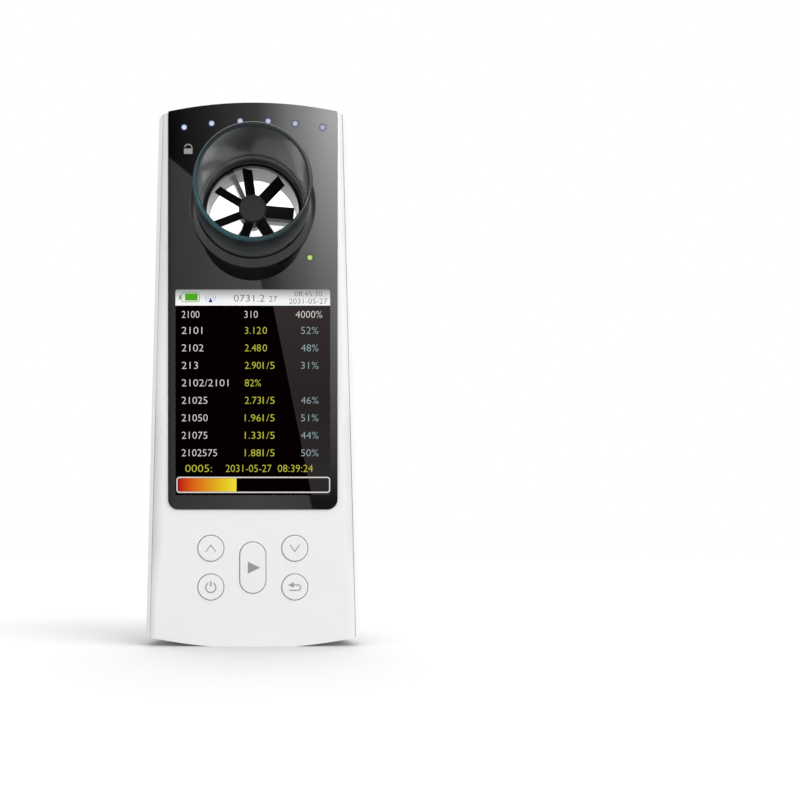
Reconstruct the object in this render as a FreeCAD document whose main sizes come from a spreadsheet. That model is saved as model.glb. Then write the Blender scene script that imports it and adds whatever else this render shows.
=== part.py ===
import FreeCAD, Part
import math
import os
import Sketcher

# Handheld spirometer: a white two-part case with a glossy front panel, a turbine tube with a bladed
# rotor at the top, a display and five keys. Millimetres; +Z up, the front faces -Y, +X to the right.

V = FreeCAD.Vector
os.makedirs("parts", exist_ok=True)
document = FreeCAD.newDocument("spirometer")
sheet = document.addObject("Spreadsheet::Sheet", "sizes")

# driving dimensions

SIZES = {
    # case
    "body_height": 152.6,
    "foot_half": 30.5,
    "side_taper": 3.9,
    "belly_height": 46.0,
    "belly_deep": 33.1,
    "belly_radius": 240.0,
    "neck_radius": 100.0,
    "top_deep": 26.7,
    "back_angle": 2.7,
    "back_flat": 4.0,
    "edge_radius": 2.7,
    "least_edge": 0.3,
    "edge_bite": 0.03,
    "top_radius": 115.0,
    "bottom_radius": 140.0,
    "stand_half": 12.0,
    "face_plane": -10.2,
    "cover_deep": 4.9,
    "side_wall": 2.0,
    "face_wall": 2.2,
    "lip_height": 1.2,
    "lip_gap": 0.15,
    "groove_deep": 0.3,
    # front panel
    "panel_margin": 2.9,
    "panel_bottom": 38.6,
    "panel_corner": 2.7,
    "panel_thick": 1.5,
    "panel_proud": 0.5,
    "panel_gap": 0.15,
    "tape_thick": 0.2,
    "tape_inset": 0.8,
    # turbine port
    "port_drop": 29.1,
    "tube_outer": 15.7,
    "tube_wall": 1.2,
    "tube_proud": 12.2,
    "tube_rim": 0.35,
    "socket_deep": 12.5,
    "socket_step": 0.3,
    "spigot_long": 8.7,
    "spigot_step": 0.3,
    "tunnel_gap": 0.3,
    "tunnel_wall": 1.0,
    "tunnel_end": 19.8,
    "tunnel_lip": 1.6,
    "outlet_step": 0.1,
    "gasket_high": 1.0,
    "gasket_gap": 0.1,
    "running_gap": 0.05,
    "ring_wall": 1.15,
    "ring_collar": 0.7,
    "ring_edge_proud": 1.2,
    "ring_peak_proud": 2.9,
    "ring_flat": 0.35,
    "ring_bevel": 0.25,
    "hook_gap": 0.05,
    "hook_inset": 0.3,
    "hook_reach": 0.8,
    "hook_thick": 0.9,
    "hook_half_angle": 15.0,
    "hook_angle": 72.0,
    # rotor and its frame
    "frame_setback": 3.0,
    "frame_wall": 1.1,
    "frame_chamfer": 0.6,
    "frame_long": 7.0,
    "frame_taper": 0.5,
    "frame_gap": 0.02,
    "arm_wide": 1.3,
    "arm_thick": 2.0,
    "arm_setback": 3.0,
    "frame_hub": 2.9,
    "frame_hub_taper": 0.6,
    "frame_hub_nose": 1.4,
    "hub_radius": 3.95,
    "hub_setback": 0.9,
    "hub_long": 3.3,
    "hub_face": 0.8,
    "hub_bevel": 0.3,
    "tip_gap": 1.4,
    "blade_chord": 3.1,
    "blade_thick": 0.45,
    "blade_setback": 0.5,
    "blade_root": 0.6,
    "blade_angle": 59.0,
    "rest_angle": -5.0,
    "blade_count": 7.0,
    "pin_radius": 0.6,
    "pin_setback": 0.9,
    "pin_bevel": 0.2,
    "bush_outer": 1.5,
    "bush_setback": 1.0,
    "end_play": 0.1,
    # display
    "active_inset": 2.1,
    "active_low": 42.5,
    "active_drop": 23.4,
    "window_margin": 0.4,
    "display_border": 1.2,
    "display_foot": 4.7,
    "display_head": 3.5,
    "foam_thick": 0.3,
    "foam_wide": 0.7,
    "foam_inset": 0.1,
    "glass_thick": 1.2,
    "backlight_thick": 2.5,
    "backlight_foot": 1.5,
    "backlight_head": 0.5,
    # main board
    "board_thick": 1.6,
    "board_margin": 4.3,
    "board_low": 5.6,
    "board_gap": 0.2,
    "board_port_gap": 0.4,
    # keys
    "key_across": 11.8,
    "key_upper": 27.6,
    "key_lower": 16.7,
    "key_radius": 3.6,
    "key_gap": 0.2,
    "key_proud": 0.35,
    "key_bevel": 0.25,
    "key_flange": 0.9,
    "key_travel": 0.5,
    "start_height": 22.15,
    "start_half": 3.6,
    "start_long": 14.3,
    "stem_radius": 1.2,
    "flange_thick": 0.8,
    "switch_half": 2.25,
    "switch_thick": 2.0,
    "plunger_radius": 0.9,
    "plunger_gap": 0.08,
    "plunger_out": 0.6,
    "plunger_in": 0.4,
    "plunger_floor": 0.1,
    # lamps
    "lamp_arc_drop": 5.2,
    "lamp_angle": 4.07,
    "lamp_end_angle": 0.8,
    "lamp_radius": 0.8,
    "lamp_gap": 0.15,
    "lamp_bar_half": 1.3,
    "lamp_chip": 1.6,
    "lamp_chip_thick": 0.7,
    "status_aside": 3.5,
    "status_drop": 14.4,
    "guide_flange": 0.7,
    "guide_flange_thick": 0.8,
    # screws
    "case_screw_across": 12.5,
    "case_screw_low": 9.2,
    "case_screw_drop": 17.2,
    "case_boss": 2.5,
    "case_well": 2.2,
    "case_well_wall": 1.0,
    "case_floor": 1.6,
    "boss_meet": -1.0,
    "case_screw": 1.0,
    "case_head": 1.9,
    "case_head_thick": 1.4,
    "case_screw_long": 7.5,
    "board_screw_inset": 2.7,
    "board_screw_low": 34.6,
    "board_screw_rise": 13.1,
    "board_post": 1.9,
    "board_screw": 0.8,
    "board_head": 1.6,
    "board_head_thick": 1.1,
    "board_screw_long": 4.6,
    "thread_gap": 0.03,
    "shank_gap": 0.15,
    "pilot_floor": 0.3,
    "wall_bite": 0.1,
    "drive_share": 0.55,
    # air beam
    "sensor_aside": 1.3,
    "sensor_wide": 2.4,
    "sensor_half": 2.2,
    "sensor_lens": 1.1,
    "sensor_lens_out": 0.9,
    "sensor_lens_inset": 0.3,
    "sensor_gap": 0.1,
    # battery
    "battery_margin": 5.3,
    "battery_low": 46.0,
    "battery_drop": 4.1,
    "battery_thick": 10.0,
    "battery_pad_thick": 3.6,
    "battery_round": 2.5,
    "battery_rib": 1.2,
    "battery_gap": 0.3,
    "rib_inset": 5.0,
    "rib_reach": 4.0,
    "shelf_inset": 9.0,
    "shelf_short": 3.0,
    "ledge_half": 8.0,
    "ledge_reach": 5.0,
    "pad_inset": 4.0,
    "guard_inset": 3.0,
    "guard_high": 3.0,
    "guard_thick": 1.6,
    # parts on the board's back
    "socket_half": 3.75,
    "socket_thick": 2.7,
    "socket_high": 5.2,
    "socket_gap": 0.3,
    "socket_shell": 0.35,
    "socket_setback": 0.5,
    "socket_overlap": 5.7,
    "chip_half": 4.0,
    "chip_thick": 1.0,
    "chip_height": 37.5,
    "chip_spacing": 2.0,
    "memory_wide": 5.0,
    "radio_half": 5.0,
    "radio_high": 14.0,
    "radio_thick": 2.0,
    "radio_low": 14.0,
    "radio_across": -10.0,
    "buzzer_radius": 5.0,
    "buzzer_thick": 3.5,
    "buzzer_across": 10.5,
    "buzzer_height": 22.0,
    "buzzer_mouth": 1.0,
    "buzzer_mouth_deep": 1.0,
    "plug_half": 2.6,
    "plug_high": 4.0,
    "plug_thick": 2.6,
    "plug_across": 11.5,
    "plug_rise": 2.0,
    "flex_half": 6.0,
    "flex_thick": 0.2,
    "flex_tail": 1.4,
    "flex_foot": 3.0,
}

for row, (alias, number) in enumerate(SIZES.items(), start=1):
    sheet.set(f"A{row}", str(number))
    sheet.setAlias(f"A{row}", alias)
document.recompute()
reader = document.addObject("App::FeaturePython", "reader")


def cell(alias):
    """Expression that reads one cell."""
    return f"sizes.{alias}"


def value(expression):
    """Number that an expression over the cells gives."""
    return float(reader.evalExpression(expression))


def size(alias):
    return value(cell(alias))


# widths and heights that follow the case's outline

TOP_HALF = "(sizes.foot_half - sizes.side_taper)"
PORT_HEIGHT = "(sizes.body_height - sizes.port_drop)"
PANEL_HALF = f"({TOP_HALF} - sizes.panel_margin)"
ACTIVE_HALF = f"({PANEL_HALF} - sizes.active_inset)"
ACTIVE_HIGH = f"({PORT_HEIGHT} - sizes.active_drop)"
WINDOW_HALF = f"({ACTIVE_HALF} + sizes.window_margin)"
WINDOW_LOW = "(sizes.active_low - sizes.window_margin)"
WINDOW_HIGH = f"({ACTIVE_HIGH} + sizes.window_margin)"
DISPLAY_HALF = f"({ACTIVE_HALF} + sizes.display_border)"
DISPLAY_LOW = "(sizes.active_low - sizes.display_foot)"
DISPLAY_HIGH = f"({ACTIVE_HIGH} + sizes.display_head)"
BOARD_HALF = f"({TOP_HALF} - sizes.board_margin)"
ARCH_CENTRE = "(sizes.body_height - sizes.top_radius)"
BOARD_HIGH = (f"({ARCH_CENTRE} - sizes.board_gap"
              f" + sqrt((sizes.top_radius - sizes.side_wall)^2 - {BOARD_HALF}^2))")
BATTERY_HALF = f"({BOARD_HALF} - sizes.battery_margin)"
BATTERY_HIGH = f"({ACTIVE_HIGH} - sizes.battery_drop)"
PLUG_LOW = f"({BATTERY_HIGH} + sizes.plug_rise)"
STATUS_ACROSS = "(sizes.case_screw_across + sizes.status_aside)"
STATUS_HEIGHT = f"({PORT_HEIGHT} - sizes.status_drop)"
CASE_SCREW_HEIGHTS = ("sizes.case_screw_low", f"({PORT_HEIGHT} - sizes.case_screw_drop)")
BOARD_SCREW_ACROSS = f"({BOARD_HALF} - sizes.board_screw_inset)"
BOARD_SCREW_HEIGHTS = ("sizes.board_screw_low", f"({PORT_HEIGHT} + sizes.board_screw_rise)")


# levels from the front to the back, each an expression over the cells

FACE = "sizes.face_plane"
PANEL_FRONT = "(sizes.face_plane - sizes.panel_proud)"
PANEL_BACK = f"({PANEL_FRONT} + sizes.panel_thick)"
RECESS_FLOOR = f"({PANEL_BACK} + sizes.tape_thick)"
FACE_INSIDE = "(sizes.face_plane + sizes.face_wall)"
PARTING = "(sizes.face_plane + sizes.cover_deep)"
GLASS_FRONT = f"({FACE_INSIDE} + sizes.foam_thick)"
GLASS_BACK = f"({GLASS_FRONT} + sizes.glass_thick)"
BOARD_FRONT = f"({GLASS_BACK} + sizes.backlight_thick)"
BOARD_BACK = f"({BOARD_FRONT} + sizes.board_thick)"
KEY_FRONT = "(sizes.face_plane - sizes.key_proud)"
FLANGE_BACK = f"({FACE_INSIDE} + sizes.flange_thick)"
STEM_FRONT = f"({FLANGE_BACK} - sizes.wall_bite)"
SWITCH_FRONT = f"({BOARD_FRONT} - sizes.switch_thick)"
PLUNGER_FRONT = f"({SWITCH_FRONT} - sizes.plunger_out)"
TUNNEL_INNER = "(sizes.tube_outer + sizes.tunnel_gap)"
TUNNEL_OUTER = f"({TUNNEL_INNER} + sizes.tunnel_wall)"
TUNNEL_SEAT = "(sizes.tunnel_end - sizes.tunnel_lip)"
TUBE_END = f"({TUNNEL_SEAT} - sizes.gasket_high)"
TUBE_FRONT = f"({PANEL_FRONT} - sizes.tube_proud)"
TUBE_INNER = "(sizes.tube_outer - sizes.tube_wall)"
FLOW_BORE = f"({TUBE_INNER} - sizes.socket_step)"
RING_INNER = "(sizes.tube_outer + sizes.running_gap)"
RING_NECK = f"({RING_INNER} + sizes.ring_wall)"
RING_OUTER = f"({RING_NECK} + sizes.ring_collar)"
PORT_HOLE = f"({RING_NECK} + sizes.running_gap)"
FRAME_BORE = f"({FLOW_BORE} - sizes.frame_wall)"
BLADE_TIP = f"({FRAME_BORE} - sizes.tip_gap)"
FRAME_FRONT = f"({PANEL_FRONT} + sizes.frame_setback)"
HUB_FRONT = f"({PANEL_FRONT} + sizes.hub_setback)"
HUB_BACK = f"({HUB_FRONT} + sizes.hub_long)"
ARM_FRONT = f"({FRAME_FRONT} + sizes.arm_setback)"
ARM_BACK = f"({ARM_FRONT} + sizes.arm_thick)"
BATTERY_FRONT = f"({BOARD_BACK} + sizes.battery_pad_thick)"
BATTERY_BACK = f"({BATTERY_FRONT} + sizes.battery_thick)"
CASE_HEAD_SEAT = "(sizes.boss_meet + sizes.case_floor)"

# how far cutting tools run past the faces that they open, and how near counts as touching

PAST = 1.0
OVERSHOOT = 5.0
TOUCH = 0.01
BEFORE = f"(sizes.face_plane - {OVERSHOOT})"
BEHIND = f"({BOARD_BACK} + {OVERSHOOT})"

nodes = []


def node(label, shape_object):
    """Give a finished piece its name and put it on the list of pieces to write."""
    shape_object.Label = label
    nodes.append(shape_object)
    return shape_object


# helpers for solids bound to the sheet


def box(name, low, high):
    """Box between two corners, each three expressions."""
    solid = document.addObject("Part::Box", name)
    for side, start, end in zip(("Length", "Width", "Height"), low, high):
        solid.setExpression(side, f"({end}) - ({start})")
    for axis, start in zip("xyz", low):
        solid.setExpression(f".Placement.Base.{axis}", start)
    return solid


def rod(name, radius, across, height, start, end):
    """Cylinder along Y from one level to another."""
    solid = document.addObject("Part::Cylinder", name)
    solid.Placement = FreeCAD.Placement(V(0, 0, 0), FreeCAD.Rotation(V(1, 0, 0), -90))
    solid.setExpression("Radius", radius)
    solid.setExpression("Height", f"({end}) - ({start})")
    for axis, start_value in zip("xyz", (across, start, height)):
        solid.setExpression(f".Placement.Base.{axis}", start_value)
    return solid


def hexagon(name, radius, across, height, start, end):
    """Six-sided prism along Y, with its corners on the radius."""
    solid = document.addObject("Part::Prism", name)
    solid.Placement = FreeCAD.Placement(V(0, 0, 0), FreeCAD.Rotation(V(1, 0, 0), -90))
    solid.Polygon = 6
    solid.setExpression("Circumradius", radius)
    solid.setExpression("Height", f"({end}) - ({start})")
    for axis, start_value in zip("xyz", (across, start, height)):
        solid.setExpression(f".Placement.Base.{axis}", start_value)
    return solid


def cut(name, base, tools):
    tool = tools[0]
    if len(tools) > 1:
        tool = fuse(name + "_tools", tools)
    solid = document.addObject("Part::Cut", name)
    solid.Base = base
    solid.Tool = tool
    return solid


def fuse(name, shapes):
    solid = document.addObject("Part::MultiFuse", name)
    solid.Shapes = shapes
    return solid


def group(name, shapes):
    """Separate solids in one piece list entry."""
    solid = document.addObject("Part::Compound", name)
    solid.Links = shapes
    return solid


def fixed(name, shape):
    solid = document.addObject("Part::Feature", name)
    solid.Shape = shape
    return solid


def body(name):
    return document.addObject("PartDesign::Body", name)


def origin_plane(owner, role):
    return [item for item in owner.Origin.OriginFeatures if item.Role == role][0]


def polygon(owner, name, role, points):
    """Closed sketch outline whose corners are pairs of expressions."""
    sketch = owner.newObject("Sketcher::SketchObject", name)
    sketch.AttachmentSupport = (origin_plane(owner, role), [""])
    sketch.MapMode = "FlatFace"
    corners = [V(value(across), value(up), 0) for across, up in points]
    count = len(corners)
    for index in range(count):
        sketch.addGeometry(Part.LineSegment(corners[index], corners[(index + 1) % count]))
    for index in range(count):
        sketch.addConstraint(Sketcher.Constraint("Coincident", index, 2, (index + 1) % count, 1))
    for index, (across, up) in enumerate(points):
        for kind, expression in (("DistanceX", across), ("DistanceY", up)):
            number = sketch.addConstraint(
                Sketcher.Constraint(kind, -1, 1, index, 1, value(expression)))
            sketch.setExpression(f"Constraints[{number}]", expression)
    return sketch


def revolved(name, points):
    """Body turned about the port's axis from (radius, level) corners."""
    owner = body(name)
    sketch = polygon(owner, name + "_profile", "XY_Plane", points)
    turn = owner.newObject("PartDesign::Revolution", name + "_turn")
    turn.Profile = sketch
    turn.ReferenceAxis = (sketch, ["V_Axis"])
    turn.Angle = 360
    owner.setExpression(".Placement.Base.z", PORT_HEIGHT)
    return owner


# case form: each half is a D-shaped section that follows the back's curve, leaned inward to the top

REACH = 200.0
HALF_REACH = REACH / 2
FOOT_SWING = 16.0


def arched(side_inset):
    """Everything between the case's two arched ends and above its flat standing strip."""
    tall = size("body_height")
    top_radius = size("top_radius")
    bottom_radius = size("bottom_radius")
    drop = bottom_radius - math.sqrt(bottom_radius**2 - size("stand_half")**2)
    back = V(0, 1, 0)
    top = Part.makeCylinder(top_radius - side_inset, REACH, V(0, -HALF_REACH, tall - top_radius), back)
    bottom = Part.makeCylinder(
        bottom_radius - side_inset, REACH, V(0, -HALF_REACH, bottom_radius - drop), back)
    slab = Part.makeBox(REACH, REACH, tall, V(-HALF_REACH, -HALF_REACH, side_inset))
    return top.common(bottom).common(slab)


def corner_arc(centre, radius, across, back):
    """Quarter circle in a level plane, from its side point to its back or front point."""
    half_turn = math.sqrt(0.5) * radius
    return Part.Arc(centre + V(across * radius, 0, 0), centre + V(across * half_turn, back * half_turn, 0),
                    centre + V(0, back * radius, 0)).toShape()


def closed_face(arc, corners):
    """Face bounded by one arc and by straight lines from corner to corner."""
    lines = [Part.LineSegment(near, far).toShape() for near, far in zip(corners, corners[1:])]
    return Part.Face(Part.Wire([arc] + lines))


def back_curve():
    """Centres of the round belly and the hollow neck above it, and the angle where they meet."""
    slope = math.radians(size("back_angle"))
    both = size("belly_radius") + size("neck_radius")
    belly = V(0, size("face_plane") + size("belly_deep") - size("belly_radius"), size("belly_height"))
    top = V(0, size("face_plane") + size("top_deep"), size("body_height"))
    outward = V(0, math.cos(slope), math.sin(slope))
    reach = top.dot(outward) + size("neck_radius") - belly.dot(outward)
    bend = slope + math.acos(reach / both)
    neck = belly + V(0, math.cos(bend), math.sin(bend)) * both
    return belly, neck, math.degrees(bend)


def back_sweep(inset):
    """Right half of the case behind its face: belly, neck and straight top."""
    wide = size("foot_half") - inset
    back = size("face_plane") + size("belly_deep") - inset
    front = size("face_plane") - OVERSHOOT
    level = size("belly_height")
    turn = wide - size("back_flat")
    middle = V(wide - turn, back - turn, level)
    face = closed_face(corner_arc(middle, turn, 1, 1), [
        V(wide - turn, back, level), V(-OVERSHOOT, back, level), V(-OVERSHOOT, front, level),
        V(wide, front, level), V(wide, back - turn, level)])
    belly, neck, bend = back_curve()
    across = V(1, 0, 0)
    low = face.copy()
    low.rotate(belly, across, -FOOT_SWING)
    convex = low.revolve(belly, across, FOOT_SWING + bend)
    face.rotate(belly, across, bend)
    hollow = bend - size("back_angle")
    concave = face.revolve(neck, across * -1, hollow)
    face.rotate(neck, across * -1, hollow)
    slope = math.radians(size("back_angle"))
    straight = face.extrude(V(0, -math.sin(slope), math.cos(slope)) * HALF_REACH)
    return convex.fuse([concave, straight])


def front_prism(inset, face_inset):
    """Right half of the case's flat face with its rounded long edge, which bites a hair into the side."""
    wide = size("foot_half") - inset + size("edge_bite")
    face = size("face_plane") + face_inset
    edge = max(size("edge_radius") - inset, size("least_edge"))
    low = -HALF_REACH
    outline = closed_face(corner_arc(V(wide - edge, face + edge, low), edge, 1, -1), [
        V(wide - edge, face, low), V(-REACH, face, low), V(-REACH, HALF_REACH, low),
        V(wide, HALF_REACH, low), V(wide, face + edge, low)])
    return outline.extrude(V(0, 0, 2 * REACH))


def form(side_inset, face_inset):
    """Case form, shrunk by a wall at the sides and another at the face."""
    half = back_sweep(side_inset).common(front_prism(side_inset, face_inset))
    lean = math.atan(size("side_taper") / size("body_height"))
    half.rotate(V(size("foot_half"), 0, 0), V(0, 1, 0), -math.degrees(lean))
    half = half.common(Part.makeBox(REACH, 2 * REACH, 2 * REACH, V(0, -REACH, -REACH)))
    whole = half.fuse(half.mirror(V(0, 0, 0), V(1, 0, 0))).removeSplitter()
    return whole.common(arched(side_inset))


def layer(start, end):
    """Slab of space between two levels."""
    return Part.makeBox(REACH, end - start, 2 * REACH, V(-HALF_REACH, start, -HALF_REACH))


outer_form = form(0.0, 0.0)
inner_form = form(size("side_wall"), size("face_wall"))
half_wall = size("side_wall") / 2
lip_outer = form(half_wall + size("lip_gap"), size("face_wall"))
lip_groove = form(half_wall, size("face_wall"))
groove_form = form(size("groove_deep"), size("groove_deep"))
parting_level = value(PARTING)
shell = outer_form.cut(inner_form)
groove_band = outer_form.cut(groove_form).common(
    layer(parting_level - size("groove_deep") / 2, parting_level + size("groove_deep") / 2))


# front panel outline, used for the panel, its tape and its recess


def panel_slab(start, end, grow=0.0, raise_top=0.0):
    """Panel outline grown at its sides and foot, between two levels."""
    half = value(PANEL_HALF) + grow
    low = size("panel_bottom") - grow
    corner = size("panel_corner") + grow
    arch = size("top_radius") + raise_top
    centre = value(ARCH_CENTRE)
    shoulder = centre + math.sqrt(arch**2 - half**2)
    slant = corner * (1 - math.sqrt(0.5))
    turn_right = Part.Arc(V(half - corner, start, low), V(half - slant, start, low + slant),
                          V(half, start, low + corner))
    turn_left = Part.Arc(V(-half, start, low + corner), V(-half + slant, start, low + slant),
                         V(-half + corner, start, low))
    crown = Part.Arc(V(half, start, shoulder), V(0, start, centre + arch), V(-half, start, shoulder))
    edges = [
        Part.LineSegment(V(-half + corner, start, low), V(half - corner, start, low)),
        turn_right,
        Part.LineSegment(V(half, start, low + corner), V(half, start, shoulder)),
        crown,
        Part.LineSegment(V(-half, start, shoulder), V(-half, start, low + corner)),
        turn_left,
    ]
    face = Part.Face(Part.Wire([edge.toShape() for edge in edges]))
    return face.extrude(V(0, end - start, 0))


# places of lamps, keys and screws

LAMP_COUNT = 6
LAMP_ARC = "(sizes.top_radius - sizes.lamp_arc_drop)"
lamp_places = []
for place in range(LAMP_COUNT):
    lamp_turn = f"({place} - {(LAMP_COUNT - 1) / 2}) * sizes.lamp_angle"
    lamp_x = f"{LAMP_ARC} * sin({lamp_turn})"
    lamp_z = f"({ARCH_CENTRE} + {LAMP_ARC} * cos({lamp_turn}))"
    lamp_places.append((lamp_x, lamp_z))
STATUS_PLACE = (STATUS_ACROSS, STATUS_HEIGHT)

KEYS = {
    "key_up": ("-sizes.key_across", "sizes.key_upper"),
    "key_down": ("sizes.key_across", "sizes.key_upper"),
    "key_power": ("-sizes.key_across", "sizes.key_lower"),
    "key_back": ("sizes.key_across", "sizes.key_lower"),
}
START_PLACE = ("0", "sizes.start_height")

case_screw_places = []
board_screw_places = []
for side in ("-", ""):
    for case_height, board_height in zip(CASE_SCREW_HEIGHTS, BOARD_SCREW_HEIGHTS):
        case_screw_places.append((f"{side}sizes.case_screw_across", case_height))
        board_screw_places.append((f"{side}{BOARD_SCREW_ACROSS}", board_height))


def rods(name, radius, places, start, end):
    return [rod(f"{name}_{index}", radius, across, height, start, end)
            for index, (across, height) in enumerate(places, start=1)]


def stadium(name, half, long, across, height, start, end):
    """Long key's outline with round ends, between two levels."""
    rise = f"(({long}) / 2 - ({half}))"
    middle = box(name + "_middle", (f"({across}) - ({half})", start, f"({height}) - {rise}"),
                 (f"({across}) + ({half})", end, f"({height}) + {rise}"))
    top = rod(name + "_top", half, across, f"({height}) + {rise}", start, end)
    low = rod(name + "_low", half, across, f"({height}) - {rise}", start, end)
    joined = fuse(name, [middle, top, low])
    joined.Refine = True
    return joined


# front cover: half of the shell with a lip, a recess for the panel, posts and bosses


def make_front_cover():
    half = shell.common(layer(-HALF_REACH, parting_level))
    lip = lip_outer.cut(inner_form).common(layer(parting_level - size("lip_height"),
                                                 parting_level + size("lip_height")))
    recess = panel_slab(value(BEFORE), value(RECESS_FLOOR), size("panel_gap"), OVERSHOOT)
    blank = fixed("front_blank", half.fuse(lip).cut(groove_band).cut(recess).removeSplitter())
    root = f"({FACE_INSIDE} - sizes.wall_bite)"
    bosses = rods("front_boss", cell("case_boss"), case_screw_places, root, cell("boss_meet"))
    posts = rods("board_post", cell("board_post"), board_screw_places, root, BOARD_FRONT)
    solid = fuse("front_solid", [blank] + bosses + posts)
    holes = [rod("port_hole", PORT_HOLE, "0", PORT_HEIGHT, BEFORE, BEHIND)]
    holes.append(box("window_hole", (f"-{WINDOW_HALF}", BEFORE, WINDOW_LOW),
                     (WINDOW_HALF, BEHIND, WINDOW_HIGH)))
    holes += rods("lamp_hole", "sizes.lamp_radius + sizes.lamp_gap", lamp_places, BEFORE, BEHIND)
    holes.append(rod("status_hole", "sizes.lamp_radius + sizes.lamp_gap", *STATUS_PLACE, BEFORE, BEHIND))
    holes += rods("key_hole", "sizes.key_radius + sizes.key_gap", list(KEYS.values()), BEFORE, BEHIND)
    holes.append(stadium("start_hole", "sizes.start_half + sizes.key_gap",
                         "sizes.start_long + 2 * sizes.key_gap", *START_PLACE, BEFORE, BEHIND))
    floor = f"({FACE_INSIDE} + sizes.pilot_floor)"
    holes += rods("case_pilot", "sizes.case_screw + sizes.thread_gap", case_screw_places, floor,
                  f"(sizes.boss_meet + {PAST})")
    holes += rods("board_pilot", "sizes.board_screw + sizes.thread_gap", board_screw_places, floor,
                  f"({BOARD_FRONT} + {PAST})")
    node("front_cover", cut("front_cover_solid", solid, holes))


# rear cover: the other half with the air tunnel, screw wells, battery ribs and the socket opening


def make_rear_cover():
    half = shell.common(layer(parting_level, HALF_REACH))
    rabbet = outer_form.common(lip_groove).cut(inner_form).common(
        layer(parting_level - PAST, parting_level + size("lip_height") + size("lip_gap")))
    blank = half.cut(rabbet).cut(groove_band)
    wells = []
    for across, height in case_screw_places:
        column = Part.makeCylinder(size("case_well") + size("case_well_wall"), HALF_REACH,
                                   V(value(across), size("boss_meet"), value(height)), V(0, 1, 0))
        wells.append(column.common(outer_form))
    ribs = []
    rib = size("battery_rib")
    gap = size("battery_gap")
    back = value(BATTERY_BACK)
    half_wide = value(BATTERY_HALF)
    low = size("battery_low")
    high = value(BATTERY_HIGH)
    rib_low = low + size("rib_inset")
    for sign in (-1, 1):
        edge = sign * (half_wide + gap + rib / 2)
        ribs.append(Part.makeBox(rib, HALF_REACH, high - size("rib_inset") - rib_low,
                                 V(edge - rib / 2, back - size("rib_reach"), rib_low)))
    shelf_half = half_wide - size("shelf_short")
    for level in (low + size("shelf_inset"), high - size("shelf_inset")):
        ribs.append(Part.makeBox(2 * shelf_half, HALF_REACH, rib,
                                 V(-shelf_half, back + gap, level - rib / 2)))
    ledge = size("ledge_half")
    for level in (low - gap - rib, high + size("guard_high") + gap):
        ribs.append(Part.makeBox(2 * ledge, HALF_REACH, rib, V(-ledge, back - size("ledge_reach"), level)))
    cradle = Part.makeCompound(ribs).common(outer_form)
    tunnel = Part.makeCylinder(value(TUNNEL_OUTER), size("tunnel_end") - parting_level,
                               V(0, parting_level, value(PORT_HEIGHT)), V(0, 1, 0))
    solid = blank.fuse(wells + cradle.Solids + [tunnel]).removeSplitter()
    blank_object = fixed("rear_blank", solid)
    holes = [
        rod("tunnel_bore", TUNNEL_INNER, "0", PORT_HEIGHT, BEFORE, TUNNEL_SEAT),
        rod("outlet", f"({FLOW_BORE} - sizes.outlet_step)", "0", PORT_HEIGHT, BEFORE,
            f"(sizes.tunnel_end + {PAST})"),
        box("socket_hole",
            ("-sizes.socket_half - sizes.socket_gap", f"{BOARD_BACK} - sizes.socket_gap", f"-{PAST}"),
            ("sizes.socket_half + sizes.socket_gap",
             f"{BOARD_BACK} + sizes.socket_thick + sizes.socket_gap", f"sizes.side_wall + {PAST}")),
    ]
    holes += rods("head_well", cell("case_well"), case_screw_places, CASE_HEAD_SEAT, f"{HALF_REACH}")
    holes += rods("case_shank_hole", "sizes.case_screw + sizes.shank_gap", case_screw_places,
                  f"(sizes.boss_meet - {PAST})", CASE_HEAD_SEAT)
    node("rear_cover", cut("rear_cover_solid", blank_object, holes))


# glossy panel and its black mask tape


def make_panel():
    slab = panel_slab(value(PANEL_FRONT), value(PANEL_BACK))
    port = rod("panel_port", f"{RING_NECK} + sizes.panel_gap", "0", PORT_HEIGHT, BEFORE, BEHIND)
    node("front_panel", cut("panel_solid", fixed("panel_slab", slab), [port]))
    tape = panel_slab(value(PANEL_BACK), value(RECESS_FLOOR), -size("tape_inset"), -size("tape_inset"))
    holes = [rod("tape_port", f"{RING_NECK} + sizes.tape_inset", "0", PORT_HEIGHT, BEFORE, BEHIND)]
    holes.append(box("tape_window", (f"-{ACTIVE_HALF}", BEFORE, cell("active_low")),
                     (ACTIVE_HALF, BEHIND, ACTIVE_HIGH)))
    holes += rods("tape_lamp", cell("lamp_radius"), lamp_places, BEFORE, BEHIND)
    holes.append(rod("tape_status", cell("lamp_radius"), *STATUS_PLACE, BEFORE, BEHIND))
    node("panel_tape", cut("tape_solid", fixed("tape_slab", tape), holes))


# ring round the port: a sloping collar, a neck through the cover and two hooks behind it


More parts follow.
